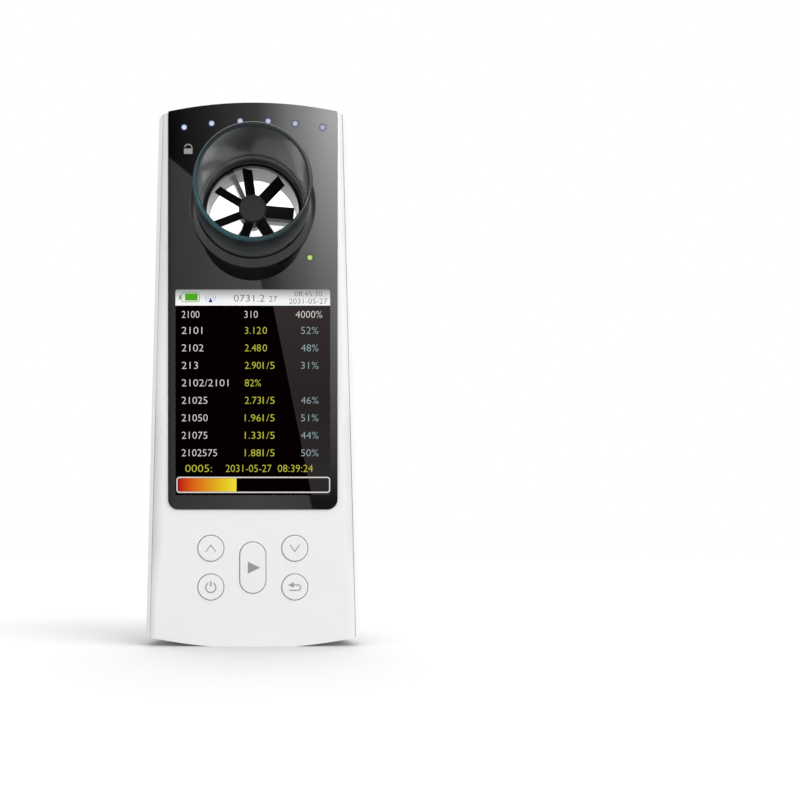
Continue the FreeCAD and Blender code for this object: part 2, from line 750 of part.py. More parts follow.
def make_lock_ring():
    hook_back = f"({FACE_INSIDE} + sizes.hook_gap + sizes.hook_thick)"
    collar = revolved("collar", [
        (RING_INNER, f"{PANEL_FRONT} - sizes.ring_peak_proud"),
        (f"{RING_INNER} + sizes.ring_flat", f"{PANEL_FRONT} - sizes.ring_peak_proud"),
        (f"{RING_OUTER} - sizes.ring_bevel", f"{PANEL_FRONT} - sizes.ring_edge_proud"),
        (RING_OUTER, f"{PANEL_FRONT} - sizes.ring_edge_proud + sizes.ring_bevel"),
        (RING_OUTER, PANEL_FRONT),
        (RING_NECK, PANEL_FRONT),
        (RING_NECK, hook_back),
        (RING_INNER, hook_back),
    ])
    sweep = 2 * size("hook_half_angle")
    thick = size("hook_thick")
    hooks = []
    for turn in (size("hook_angle"), size("hook_angle") + 180):
        hook = Part.makeCylinder(value(RING_NECK) + size("hook_reach"), thick, V(0, 0, 0),
                                 V(0, 0, 1), sweep)
        hook = hook.cut(Part.makeCylinder(value(f"{RING_INNER} + sizes.hook_inset"), thick))
        hook.rotate(V(0, 0, 0), V(0, 0, 1), turn - sweep / 2)
        hook.rotate(V(0, 0, 0), V(1, 0, 0), 90)
        hook.translate(V(0, value(hook_back), value(PORT_HEIGHT)))
        hooks.append(fixed(f"hook_{len(hooks) + 1}", hook))
    node("lock_ring", fuse("lock_ring_solid", [collar] + hooks))


# turbine: clear tube, bladed rotor on an axle pin, frame with three arms


def make_turbine():
    socket_end = f"{TUBE_FRONT} + sizes.socket_deep"
    spigot_end = f"{TUBE_FRONT} + sizes.spigot_long"
    rear_outer = "sizes.tube_outer - sizes.spigot_step"
    tube = revolved("tube", [
        (f"{TUBE_INNER} + sizes.tube_rim", TUBE_FRONT), ("sizes.tube_outer - sizes.tube_rim", TUBE_FRONT),
        (cell("tube_outer"), f"{TUBE_FRONT} + sizes.tube_rim"), (cell("tube_outer"), spigot_end),
        (rear_outer, spigot_end), (rear_outer, TUBE_END), (FLOW_BORE, TUBE_END),
        (FLOW_BORE, socket_end), (TUBE_INNER, socket_end),
        (TUBE_INNER, f"{TUBE_FRONT} + sizes.tube_rim")])
    node("turbine_tube", tube)

    frame = revolved("frame", [
        (FRAME_BORE, FRAME_FRONT),
        (f"{FLOW_BORE} - sizes.frame_chamfer", FRAME_FRONT),
        (f"{FLOW_BORE} - sizes.frame_gap", f"{FRAME_FRONT} + sizes.frame_taper"),
        (f"{FLOW_BORE} - sizes.frame_gap", f"{FRAME_FRONT} + sizes.frame_long"),
        (FRAME_BORE, f"{FRAME_FRONT} + sizes.frame_long")])
    arm = polygon(frame, "arm_profile", "YZ_Plane", [
        (ARM_FRONT, "-sizes.arm_wide / 2"),
        (ARM_BACK, "-sizes.arm_wide / 2"),
        (ARM_BACK, "sizes.arm_wide / 2"),
        (ARM_FRONT, "sizes.arm_wide / 2")])
    arm_pad = frame.newObject("PartDesign::Pad", "arm")
    arm_pad.Profile = arm
    arm_pad.setExpression("Length", f"{FRAME_BORE} + sizes.wall_bite")
    arms = frame.newObject("PartDesign::PolarPattern", "arms")
    arms.Originals = [arm_pad]
    arms.Axis = (origin_plane(frame, "Y_Axis"), [""])
    arms.Angle = 360
    arms.Occurrences = 3
    frame.Tip = arms
    hub_profile = polygon(frame, "frame_hub_profile", "XY_Plane", [
        ("0", f"{HUB_BACK} + sizes.end_play"),
        ("sizes.frame_hub - sizes.frame_hub_taper", f"{HUB_BACK} + sizes.end_play"),
        (cell("frame_hub"), ARM_FRONT),
        (cell("frame_hub"), ARM_BACK),
        ("0", f"{ARM_BACK} + sizes.frame_hub_nose")])
    hub = frame.newObject("PartDesign::Revolution", "frame_hub_turn")
    hub.Profile = hub_profile
    hub.ReferenceAxis = (hub_profile, ["V_Axis"])
    hub.Angle = 360
    bore_profile = polygon(frame, "frame_bore_profile", "XY_Plane", [
        ("0", f"{HUB_BACK} - {PAST}"), (cell("pin_radius"), f"{HUB_BACK} - {PAST}"),
        (cell("pin_radius"), ARM_BACK), ("0", ARM_BACK)])
    bore = frame.newObject("PartDesign::Groove", "frame_pin_bore")
    bore.Profile = bore_profile
    bore.ReferenceAxis = (bore_profile, ["V_Axis"])
    bore.Angle = 360
    frame.setExpression(".Placement.Rotation.Angle", cell("rest_angle"))
    frame.Placement = FreeCAD.Placement(frame.Placement.Base, FreeCAD.Rotation(V(0, -1, 0), 0))
    node("turbine_frame", frame)

    pin_front = f"({HUB_FRONT} + sizes.pin_setback)"
    pin = revolved("pin", [
        ("0", pin_front), ("sizes.pin_radius - sizes.pin_bevel", pin_front),
        (cell("pin_radius"), f"{pin_front} + sizes.pin_bevel"),
        (cell("pin_radius"), ARM_BACK), ("0", ARM_BACK)])
    node("axle_pin", pin)

    bush_front = f"({HUB_FRONT} + sizes.bush_setback)"
    bush = revolved("bush", [
        ("sizes.pin_radius + sizes.running_gap", bush_front),
        (cell("bush_outer"), bush_front), (cell("bush_outer"), HUB_BACK),
        ("sizes.pin_radius + sizes.running_gap", HUB_BACK)])
    node("rotor_bush", bush)

    gasket = revolved("gasket", [
        (FLOW_BORE, TUBE_END), (f"{TUNNEL_INNER} - sizes.gasket_gap", TUBE_END),
        (f"{TUNNEL_INNER} - sizes.gasket_gap", TUNNEL_SEAT), (FLOW_BORE, TUNNEL_SEAT)])
    node("port_gasket", gasket)


def make_rotor():
    """Hub with flat blades set at a pitch, all copied round the hub's axis."""
    rotor = revolved("rotor", [
        ("0", HUB_FRONT), ("sizes.hub_radius - sizes.hub_bevel", HUB_FRONT),
        (cell("hub_radius"), f"{HUB_FRONT} + sizes.hub_bevel"), (cell("hub_radius"), HUB_BACK),
        (cell("bush_outer"), HUB_BACK), (cell("bush_outer"), f"{HUB_FRONT} + sizes.hub_face"),
        ("0", f"{HUB_FRONT} + sizes.hub_face")])
    along = ("sizes.blade_chord / 2 * cos(sizes.blade_angle)",
             "sizes.blade_chord / 2 * sin(sizes.blade_angle)")
    aside = ("sizes.blade_thick / 2 * sin(sizes.blade_angle)",
             "sizes.blade_thick / 2 * cos(sizes.blade_angle)")
    middle = f"({HUB_FRONT} + sizes.blade_setback + {along[0]})"
    corners = []
    for lead, side in ((-1, -1), (-1, 1), (1, 1), (1, -1)):
        level = f"{middle} + ({lead}) * {along[0]} + ({side}) * {aside[0]}"
        height = f"({-lead}) * {along[1]} + ({side}) * {aside[1]}"
        corners.append((level, height))
    blade_profile = polygon(rotor, "blade_profile", "YZ_Plane", corners)
    blade_profile.setExpression(".AttachmentOffset.Base.z", "sizes.hub_radius - sizes.blade_root")
    blade = rotor.newObject("PartDesign::Pad", "blade")
    blade.Profile = blade_profile
    blade.setExpression("Length", f"{BLADE_TIP} - sizes.hub_radius + sizes.blade_root")
    blades = rotor.newObject("PartDesign::PolarPattern", "blades")
    blades.Originals = [blade]
    blades.Axis = (origin_plane(rotor, "Y_Axis"), [""])
    blades.Angle = 360
    blades.setExpression("Occurrences", cell("blade_count"))
    rotor.Tip = blades
    rotor.Placement = FreeCAD.Placement(rotor.Placement.Base, FreeCAD.Rotation(V(0, -1, 0), 0))
    rotor.setExpression(".Placement.Rotation.Angle", cell("rest_angle"))
    node("rotor", rotor)


# keys: caps with a flange behind the cover, a stem, and the switch plunger that moves with them


def bevelled_front(name, base, reach):
    """Bevel the edges that lie in the key's front plane."""
    document.recompute()
    front = value(KEY_FRONT)
    edges = [(number, reach, reach) for number, edge in enumerate(base.Shape.Edges, start=1)
             if edge.BoundBox.YMax < front + TOUCH]
    bevel = document.addObject("Part::Chamfer", name)
    bevel.Base = base
    bevel.Edges = edges
    return bevel


def make_keys():
    for name, (across, height) in KEYS.items():
        cap = fuse(name + "_solid", [
            rod(name + "_cap", cell("key_radius"), across, height, KEY_FRONT, FLANGE_BACK),
            rod(name + "_flange", "sizes.key_radius + sizes.key_flange", across, height, FACE_INSIDE,
                FLANGE_BACK),
            rod(name + "_stem", cell("stem_radius"), across, height, STEM_FRONT, PLUNGER_FRONT)])
        cap.Refine = True
        node(name, bevelled_front(name + "_bevel", cap, size("key_bevel")))
    long_cap = stadium("start_cap", cell("start_half"), cell("start_long"), *START_PLACE, KEY_FRONT,
                       FLANGE_BACK)
    long_flange = stadium("start_flange", "sizes.start_half + sizes.key_flange",
                          "sizes.start_long + 2 * sizes.key_flange", *START_PLACE, FACE_INSIDE,
                          FLANGE_BACK)
    stem = rod("start_stem", cell("stem_radius"), *START_PLACE, STEM_FRONT, PLUNGER_FRONT)
    start = fuse("start_solid", [long_cap, long_flange, stem])
    start.Refine = True
    node("key_start", bevelled_front("start_bevel", start, size("key_bevel")))
    places = dict(KEYS)
    places["key_start"] = START_PLACE
    switches = []
    for name, (across, height) in places.items():
        label = name.replace("key", "plunger")
        node(label, rod(label + "_rod", cell("plunger_radius"), across, height, PLUNGER_FRONT,
                        f"{SWITCH_FRONT} + sizes.plunger_in"))
        case = box(name + "_switch",
                   (f"({across}) - sizes.switch_half", SWITCH_FRONT, f"{height} - sizes.switch_half"),
                   (f"({across}) + sizes.switch_half", BOARD_FRONT, f"{height} + sizes.switch_half"))
        hole = rod(name + "_switch_hole", "sizes.plunger_radius + sizes.plunger_gap", across, height,
                   f"{SWITCH_FRONT} - {PAST}",
                   f"{SWITCH_FRONT} + sizes.plunger_in + sizes.key_travel + sizes.plunger_floor")
        switches.append(cut(name + "_switch_case", case, [hole]))
    node("switch_bodies", group("switches", switches))


# display stack behind the panel


def framed(name, low, high, inner_low, inner_high):
    return cut(name, box(name + "_plate", low, high), [box(name + "_hole", inner_low, inner_high)])


def make_display():
    foam_half = f"({DISPLAY_HALF} - sizes.foam_inset)"
    node("display_gasket", framed(
        "foam", (f"-{foam_half}", FACE_INSIDE, f"{WINDOW_LOW} - sizes.foam_wide"),
        (foam_half, GLASS_FRONT, f"{WINDOW_HIGH} + sizes.foam_wide"),
        (f"-{WINDOW_HALF}", BEFORE, WINDOW_LOW), (WINDOW_HALF, BEHIND, WINDOW_HIGH)))
    node("display_glass", box("glass", (f"-{DISPLAY_HALF}", GLASS_FRONT, DISPLAY_LOW),
                              (DISPLAY_HALF, GLASS_BACK, DISPLAY_HIGH)))
    node("display_backlight", box(
        "backlight", (f"-{DISPLAY_HALF}", GLASS_BACK, f"{DISPLAY_LOW} + sizes.backlight_foot"),
        (DISPLAY_HALF, BOARD_FRONT, f"{DISPLAY_HIGH} - sizes.backlight_head")))
    bend_high = f"{DISPLAY_LOW} + sizes.flex_thick"
    node("display_flex", fuse("flex", [
        box("flex_tail", ("-sizes.flex_half", GLASS_BACK, DISPLAY_LOW),
            ("sizes.flex_half", f"{GLASS_BACK} + sizes.flex_thick", f"{DISPLAY_LOW} + sizes.flex_tail")),
        box("flex_drop", ("-sizes.flex_half", GLASS_BACK, DISPLAY_LOW),
            ("sizes.flex_half", BOARD_FRONT, bend_high)),
        box("flex_foot", ("-sizes.flex_half", f"{BOARD_FRONT} - sizes.flex_thick",
                          f"{DISPLAY_LOW} - sizes.flex_foot"),
            ("sizes.flex_half", BOARD_FRONT, bend_high))]))


# main board and what it carries


def make_board():
    plate = box("board_plate", (f"-{BOARD_HALF}", BOARD_FRONT, cell("board_low")),
                (BOARD_HALF, BOARD_BACK, BOARD_HIGH))
    holes = [rod("board_port", f"{TUNNEL_OUTER} + sizes.board_port_gap", "0", PORT_HEIGHT,
                 BEFORE, BEHIND)]
    holes += rods("board_notch", "sizes.case_boss + sizes.board_port_gap", case_screw_places,
                  BEFORE, BEHIND)
    holes += rods("board_hole", "sizes.board_screw + sizes.shank_gap", board_screw_places, BEFORE, BEHIND)
    node("main_board", cut("board", plate, holes))
    beside = "(sizes.chip_half + sizes.chip_spacing)"
    chip_low = "sizes.chip_height - sizes.chip_half / 2"
    chip_high = "sizes.chip_height + sizes.chip_half / 2"
    chip_back = f"{BOARD_BACK} + sizes.chip_thick"
    node("main_chips", group("chips", [
        box("processor", ("-sizes.chip_half", BOARD_BACK, "sizes.chip_height - sizes.chip_half"),
            ("sizes.chip_half", chip_back, "sizes.chip_height + sizes.chip_half")),
        box("charger", (beside, BOARD_BACK, chip_low),
            (f"{beside} + sizes.chip_half", chip_back, chip_high)),
        box("memory", (f"-{beside} - sizes.memory_wide", BOARD_BACK, chip_low),
            (f"-{beside}", chip_back, chip_high))]))
    node("radio_module", box(
        "radio", ("sizes.radio_across - sizes.radio_half", BOARD_BACK, cell("radio_low")),
        ("sizes.radio_across + sizes.radio_half", f"{BOARD_BACK} + sizes.radio_thick",
         "sizes.radio_low + sizes.radio_high")))
    buzzer_back = f"({BOARD_BACK} + sizes.buzzer_thick)"
    can = rod("buzzer_can", cell("buzzer_radius"), cell("buzzer_across"), cell("buzzer_height"),
              BOARD_BACK, buzzer_back)
    mouth = rod("buzzer_mouth", cell("buzzer_mouth"), cell("buzzer_across"), cell("buzzer_height"),
                f"{buzzer_back} - sizes.buzzer_mouth_deep", f"{buzzer_back} + {PAST}")
    node("buzzer", cut("buzzer_solid", can, [mouth]))
    socket = framed("socket", ("-sizes.socket_half", BOARD_BACK, cell("socket_setback")),
                    ("sizes.socket_half", f"{BOARD_BACK} + sizes.socket_thick",
                     "sizes.board_low + sizes.socket_overlap"),
                    ("-sizes.socket_half + sizes.socket_shell", f"{BOARD_BACK} + sizes.socket_shell",
                     f"-{PAST}"),
                    ("sizes.socket_half - sizes.socket_shell",
                     f"{BOARD_BACK} + sizes.socket_thick - sizes.socket_shell", cell("socket_high")))
    node("charge_socket", socket)
    node("battery_plug", box(
        "plug", ("sizes.plug_across - sizes.plug_half", BOARD_BACK, PLUG_LOW),
        ("sizes.plug_across + sizes.plug_half", f"{BOARD_BACK} + sizes.plug_thick",
         f"{PLUG_LOW} + sizes.plug_high")))
    for name, side in (("ir_emitter", -1), ("ir_receiver", 1)):
        near = f"{side} * ({TUNNEL_OUTER} + sizes.sensor_aside)"
        far = f"{side} * ({TUNNEL_OUTER} + sizes.sensor_aside + sizes.sensor_wide)"
        low_x, high_x = (near, far) if side > 0 else (far, near)
        case = box(name + "_case",
                   (low_x, f"{FACE_INSIDE} + sizes.sensor_gap", f"{PORT_HEIGHT} - sizes.sensor_half"),
                   (high_x, BOARD_FRONT, f"{PORT_HEIGHT} + sizes.sensor_half"))
        lens = document.addObject("Part::Cylinder", name + "_lens")
        lens.Placement = FreeCAD.Placement(V(0, 0, 0), FreeCAD.Rotation(V(0, 1, 0), 90 * -side))
        lens.setExpression("Radius", cell("sensor_lens"))
        lens.setExpression("Height", cell("sensor_lens_out"))
        lens.setExpression(".Placement.Base.x", near)
        lens.setExpression(".Placement.Base.y",
                           f"{FACE_INSIDE} + sizes.sensor_lens_inset + sizes.sensor_lens")
        lens.setExpression(".Placement.Base.z", PORT_HEIGHT)
        node(name, fuse(name + "_solid", [case, lens]))


# lamps and the clear guides that carry their light to the panel


def make_lamps():
    chips = []
    for index, (across, height) in enumerate(lamp_places, start=1):
        chips.append(box(
            f"lamp_{index}", (f"{across} - sizes.lamp_chip / 2",
                              f"{BOARD_FRONT} - sizes.lamp_chip_thick", f"{height} - sizes.lamp_chip / 4"),
            (f"{across} + sizes.lamp_chip / 2", BOARD_FRONT, f"{height} + sizes.lamp_chip / 4")))
    node("breath_lamps", group("lamps", chips))
    across, height = STATUS_PLACE
    node("status_lamp", box(
        "status_chip", (f"{across} - sizes.lamp_chip / 2", f"{BOARD_FRONT} - sizes.lamp_chip_thick",
                        f"{height} - sizes.lamp_chip / 4"),
        (f"{across} + sizes.lamp_chip / 2", BOARD_FRONT, f"{height} + sizes.lamp_chip / 4")))
    lens_back = f"({BOARD_FRONT} - sizes.lamp_chip_thick)"
    thick = value(lens_back) - value(FACE_INSIDE)
    radius = value(LAMP_ARC)
    centre = V(0, value(FACE_INSIDE), value(ARCH_CENTRE))
    sweep = size("lamp_angle") * (LAMP_COUNT - 1) + 2 * size("lamp_end_angle")
    half = size("lamp_bar_half")
    bar = Part.makeCylinder(radius + half, thick, V(0, 0, 0), V(0, 0, 1), sweep).cut(
        Part.makeCylinder(radius - half, thick))
    bar.rotate(V(0, 0, 0), V(0, 0, 1), 90 - sweep / 2)
    bar.rotate(V(0, 0, 0), V(1, 0, 0), 90)
    bar.translate(centre + V(0, thick, 0))
    node("light_guide", fuse("guide", [fixed("guide_bar", bar)] + rods(
        "guide_post", cell("lamp_radius"), lamp_places, RECESS_FLOOR, f"({FACE_INSIDE} + sizes.lamp_gap)")))
    node("status_guide", fuse("status_light", [
        rod("status_post", cell("lamp_radius"), across, height, RECESS_FLOOR, lens_back),
        rod("status_flange", "sizes.lamp_radius + sizes.guide_flange", across, height, FACE_INSIDE,
            f"{FACE_INSIDE} + sizes.guide_flange_thick")]))


# battery in its ribs, with a foam pad to the board


def make_battery():
    cell_box = box("battery_block", (f"-{BATTERY_HALF}", BATTERY_FRONT, cell("battery_low")),
                   (BATTERY_HALF, BATTERY_BACK, BATTERY_HIGH))
    document.recompute()
    edges = [(number, size("battery_round"), size("battery_round"))
             for number, edge in enumerate(cell_box.Shape.Edges, start=1)
             if edge.BoundBox.ZLength > TOUCH]
    rounding = document.addObject("Part::Fillet", "battery_rounded")
    rounding.Base = cell_box
    rounding.Edges = edges
    node("battery_cell", rounding)
    middle = f"({BATTERY_FRONT} + sizes.battery_thick / 2)"
    node("battery_guard", box(
        "guard", (f"-{BATTERY_HALF} + sizes.guard_inset", f"{middle} - sizes.guard_thick / 2",
                  BATTERY_HIGH),
        (f"{BATTERY_HALF} - sizes.guard_inset", f"{middle} + sizes.guard_thick / 2",
         f"{BATTERY_HIGH} + sizes.guard_high")))
    node("battery_pad", box(
        "pad", (f"-{BATTERY_HALF} + sizes.pad_inset", BOARD_BACK, "sizes.battery_low + sizes.pad_inset"),
        (f"{BATTERY_HALF} - sizes.pad_inset", BATTERY_FRONT, f"{BATTERY_HIGH} - sizes.pad_inset")))


# screws


def screws(name, places, head, head_thick, shank, long, seat):
    solids = []
    for index, (across, height) in enumerate(places, start=1):
        solid = fuse(f"{name}_{index}", [
            rod(f"{name}_head_{index}", head, across, height, seat, f"{seat} + {head_thick}"),
            rod(f"{name}_shank_{index}", shank, across, height, f"{seat} - {long}", seat)])
        recess = hexagon(f"{name}_drive_{index}", f"{head} * sizes.drive_share", across, height,
                         f"{seat} + {head_thick} / 2", f"{seat} + {head_thick} + {PAST}")
        solids.append(cut(f"{name}_cut_{index}", solid, [recess]))
    return group(name, solids)


def make_screws():
    node("case_screws", screws("case_screw_set", case_screw_places, cell("case_head"),
                               cell("case_head_thick"), cell("case_screw"), cell("case_screw_long"),
                               CASE_HEAD_SEAT))
    node("board_screws", screws("board_screw_set", board_screw_places, cell("board_head"),
                                cell("board_head_thick"), cell("board_screw"), cell("board_screw_long"),
                                BOARD_BACK))


make_front_cover()
make_rear_cover()
make_panel()
make_lock_ring()
make_turbine()
make_rotor()
make_keys()
make_display()
make_board()
make_lamps()
make_battery()
make_screws()
document.recompute()

faults = []
for item in document.Objects:
    if "Invalid" in item.State or "Error" in item.State:
        faults.append(f"{item.Name}: {item.State}")
for piece in nodes:
    if piece.Shape.isNull() or not piece.Shape.isValid():
        faults.append(f"{piece.Label}: bad shape")
if faults:
    raise RuntimeError("; ".join(faults))

for piece in nodes:
    piece.Shape.exportStep(f"parts/{piece.Label}.step")
    print(piece.Label, len(piece.Shape.Solids), round(piece.Shape.Volume, 2))
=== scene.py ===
import math

import bpy
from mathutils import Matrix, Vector


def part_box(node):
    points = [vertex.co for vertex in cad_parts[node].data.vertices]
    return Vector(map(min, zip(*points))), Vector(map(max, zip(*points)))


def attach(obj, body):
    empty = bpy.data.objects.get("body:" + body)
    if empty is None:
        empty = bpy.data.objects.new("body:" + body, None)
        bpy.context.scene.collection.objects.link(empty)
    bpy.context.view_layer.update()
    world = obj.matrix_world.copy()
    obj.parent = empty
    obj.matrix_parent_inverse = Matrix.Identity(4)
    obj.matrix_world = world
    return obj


# Handheld spirometer: white two-part case, glossy panel over a display, clear turbine tube and five keys.
# Metres, in the row's frame: +Z up, the panel faces -Y, +X to the right.

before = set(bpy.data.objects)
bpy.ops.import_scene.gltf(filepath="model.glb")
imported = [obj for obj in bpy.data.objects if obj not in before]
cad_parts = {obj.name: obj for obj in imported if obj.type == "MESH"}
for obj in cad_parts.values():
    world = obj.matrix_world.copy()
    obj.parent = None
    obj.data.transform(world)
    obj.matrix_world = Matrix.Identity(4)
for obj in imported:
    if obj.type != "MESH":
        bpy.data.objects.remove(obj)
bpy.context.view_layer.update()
MM = 0.001

# levels and places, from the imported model

PANEL_LOW, PANEL_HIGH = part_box("front_panel")
TUBE_LOW, TUBE_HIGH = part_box("turbine_tube")
FRAME_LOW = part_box("turbine_frame")[0]
PANEL_FRONT = PANEL_LOW[1]
PANEL_BACK = PANEL_HIGH[1]
PORT_Z = (TUBE_LOW[2] + TUBE_HIGH[2]) / 2

# case: heights at which its width is read, and how far in and how steeply its face rolls over

EDGE_BANDS = 14
LEAST_HALF = 25 * MM
EDGE_ROLL = 3.6 * MM
EDGE_TILT = 0.9
FACE_LEVEL = -9.9 * MM
FACE_SOFT = 0.05 * MM

# turbine: where the mouth with painted reflection and shade ends, how much of the mouth is that painted
# body, and how much its tail's bore is painted as glowing

PAINTED_MOUTH_END = FRAME_LOW[1] + 1.0 * MM
PAINTED_MOUTH_SOFT = 0.5 * MM
FRAME_LIP = 1.0 * MM
FRAME_LIP_SOFT = 0.2 * MM
PAINTED_MOUTH_SHARE = 0.85
TAIL_PAINTED_GLOW = 0.70
TAIL_MIDDLE = 15.0 * MM
TAIL_SOFT = 0.1 * MM
TUBE_RIM = 0.5 * MM
TUBE_RIM_SOFT = 0.25 * MM
HUB_RADIUS = 4.1 * MM
HUB_SOFT = 0.05 * MM

# window in the panel: WINDOW_SHEEN is taken off its mirror share, so that it mirrors only at a slant

WINDOW_SHEEN = 0.05
WINDOW_EDGE = 0.06 * MM
WINDOW_HALF = 21.7 * MM
WINDOW_LOW = 42.5 * MM
WINDOW_HIGH = 100.15 * MM
WINDOW_MIDDLE = (WINDOW_LOW + WINDOW_HIGH) / 2
BACK_MARGIN = 1.2 * MM

# sizes that several looks share

ACRYLIC_IOR = 1.49
PLASTIC_GRAIN = 0.02 * MM
METAL_GRAIN = 0.01 * MM

# where the camera stands

EYE_Y = PANEL_FRONT - 175 * MM
EYE_Z = 27 * MM


# node helpers


def material(name):
    """New material with an empty node tree."""
    made = bpy.data.materials.new(name)
    made.use_nodes = True
    made.node_tree.nodes.clear()
    return made, made.node_tree


def add(tree, kind, **inputs):
    """Node with a value or a link on each named socket; a name that starts with set_ is a setting."""
    node = tree.nodes.new(kind)
    for key, value in inputs.items():
        if key.startswith("set_"):
            setattr(node, key[4:], value)
    for key, value in inputs.items():
        if key.startswith("set_"):
            continue
        socket = node.inputs[key.replace("_", " ")]
        if isinstance(value, bpy.types.NodeSocket):
            tree.links.new(value, socket)
        else:
            socket.default_value = value
    return node


def math_node(tree, operation, *values):
    node = tree.nodes.new("ShaderNodeMath")
    node.operation = operation
    for place, value in enumerate(values):
        if isinstance(value, bpy.types.NodeSocket):
            tree.links.new(value, node.inputs[place])
        else:
            node.inputs[place].default_value = value
    return node.outputs[0]


def finish_material(tree, shader):
    add(tree, "ShaderNodeOutputMaterial", Surface=shader)


def place_of(tree):
    """Object coordinates, which are the row's frame for every CAD node, in metres."""
    return tree.nodes.new("ShaderNodeTexCoord").outputs["Object"]


def axes_of(tree):
    """The same coordinates one by one: x, y and z."""
    return add(tree, "ShaderNodeSeparateXYZ", Vector=place_of(tree)).outputs


def noise(tree, scale, detail):
    return add(tree, "ShaderNodeTexNoise", Vector=place_of(tree), Scale=scale, Detail=detail,
               Roughness=0.5).outputs["Fac"]


def ranged(tree, value, low, high, first=0.0, last=1.0):
    """Runs from first to last while the value runs from low to high, and stops at both ends."""
    return add(tree, "ShaderNodeMapRange", Value=value, From_Min=low, From_Max=high,
               To_Min=first, To_Max=last).outputs[0]


def remap(tree, value, first, last):
    """Spreads a value of 0 to 1 over another range."""
    return ranged(tree, value, 0.0, 1.0, first, last)


def step_below(tree, value, level, soft):
    """1 where the value is under a level, 0 above it."""
    return ranged(tree, value, level - soft, level + soft, 1.0, 0.0)


def ramped(tree, value, places, levels):
    """Level that follows a value through the given places."""
    low = places[0]
    span = places[-1] - low
    curve = tree.nodes.new("ShaderNodeValToRGB")
    tree.links.new(ranged(tree, value, low, places[-1]), curve.inputs[0])
    stops = curve.color_ramp.elements
    for index, (place, level) in enumerate(zip(places, levels)):
        position = (place - low) / span
        stop = stops[index] if index < 2 else stops.new(position)
        stop.position = position
        stop.color = (level, level, level, 1)
    return curve.outputs[0]


def bump(tree, height, strength, distance):
    return add(tree, "ShaderNodeBump", Height=height, Strength=strength,
               Distance=distance).outputs["Normal"]


def mixed(tree, share, first, second):
    """Colour between two, each a link or a plain colour."""
    node = add(tree, "ShaderNodeMix", set_data_type="RGBA")
    tree.links.new(share, node.inputs["Factor"])
    for key, value in (("A", first), ("B", second)):
        if isinstance(value, bpy.types.NodeSocket):
            tree.links.new(value, node.inputs[key])
        else:
            node.inputs[key].default_value = (*value, 1)
    return node.outputs["Result"]


def layered(tree, share, first, second):
    """Shader between two; the share is a link or a number."""
    node = tree.nodes.new("ShaderNodeMixShader")
    for place, link in enumerate((share, first, second)):
        if isinstance(link, bpy.types.NodeSocket):
            tree.links.new(link, node.inputs[place])
        else:
            node.inputs[place].default_value = link
    return node.outputs[0]


# materials


def plastic(name, dark, light, rough, grain, strength, specular=0.5):
    """Moulded plastic: fine bump, small colour and roughness variation."""
    made, tree = material(name)
    broad = noise(tree, 60.0, 3.0)
    fine = noise(tree, grain, 4.0)
    shader = add(tree, "ShaderNodeBsdfPrincipled", Base_Color=mixed(tree, broad, dark, light),
                 Roughness=remap(tree, fine, rough - 0.04, rough + 0.04),
                 Normal=bump(tree, fine, strength, PLASTIC_GRAIN), Specular_IOR_Level=specular)
    finish_material(tree, shader.outputs[0])
    return made


def case_edge():
    """Half width of the case at even heights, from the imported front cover."""
    low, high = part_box("front_cover")
    bands = [0.0] * EDGE_BANDS
    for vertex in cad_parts["front_cover"].data.vertices:
        share = (vertex.co.z - low[2]) / (high[2] - low[2])
        band = min(int(share * EDGE_BANDS), EDGE_BANDS - 1)
        bands[band] = max(bands[band], abs(vertex.co.x))
    known = [(index, half) for index, half in enumerate(bands) if half > LEAST_HALF]
    places = [low[2] + (high[2] - low[2]) * (index + 0.5) / EDGE_BANDS for index, half in known]
    return places, [half for index, half in known]


# a colour ramp holds a width more exactly when it is not a tiny number

RAMP_GAIN = 10


def case_plastic(name, dark, light):
    """White case plastic: a bump makes the flat front roll over towards each side."""
    made, tree = material(name)
    axes = axes_of(tree)
    broad = noise(tree, 60.0, 3.0)
    fine = noise(tree, 2600.0, 4.0)
    places, halves = case_edge()
    raised = ramped(tree, axes[2], places, [half * RAMP_GAIN for half in halves])
    edge = math_node(tree, "MULTIPLY", raised, 1 / RAMP_GAIN)
    inward = math_node(tree, "SUBTRACT", edge, EDGE_ROLL)
    sideways = math_node(tree, "SUBTRACT", math_node(tree, "ABSOLUTE", axes[0]), inward)
    past = math_node(tree, "MAXIMUM", sideways, 0.0)
    square = math_node(tree, "MULTIPLY", past, past)
    drop = math_node(tree, "MULTIPLY", square, -EDGE_TILT / (2 * EDGE_ROLL))
    front = step_below(tree, axes[1], FACE_LEVEL, FACE_SOFT)
    rolled = bump(tree, math_node(tree, "MULTIPLY", drop, front), 1.0, 1.0)
    grain = add(tree, "ShaderNodeBump", Height=fine, Strength=0.2, Distance=PLASTIC_GRAIN,
                Normal=rolled)
    shader = add(tree, "ShaderNodeBsdfPrincipled", Base_Color=mixed(tree, broad, dark, light),
                 Roughness=remap(tree, fine, 0.41, 0.49), Normal=grain.outputs[0], Specular_IOR_Level=0.35)
    finish_material(tree, shader.outputs[0])
    return made


def clear_plastic(name, tint, rough):
    made, tree = material(name)
    fine = noise(tree, 900.0, 2.0)
    shader = add(tree, "ShaderNodeBsdfPrincipled", Base_Color=(*tint, 1),
                 Roughness=remap(tree, fine, rough, rough + 0.02), IOR=ACRYLIC_IOR)
    shader.inputs["Transmission Weight"].default_value = 1.0
    finish_material(tree, shader.outputs[0])
    return made


def metal(name, dark, light, rough):
    made, tree = material(name)
    fine = noise(tree, 1800.0, 3.0)
    shader = add(tree, "ShaderNodeBsdfPrincipled", Base_Color=mixed(tree, fine, dark, light),
                 Roughness=remap(tree, fine, rough - 0.05, rough + 0.08), Metallic=1.0,
                 Normal=bump(tree, fine, 0.2, METAL_GRAIN))
    finish_material(tree, shader.outputs[0])
    return made


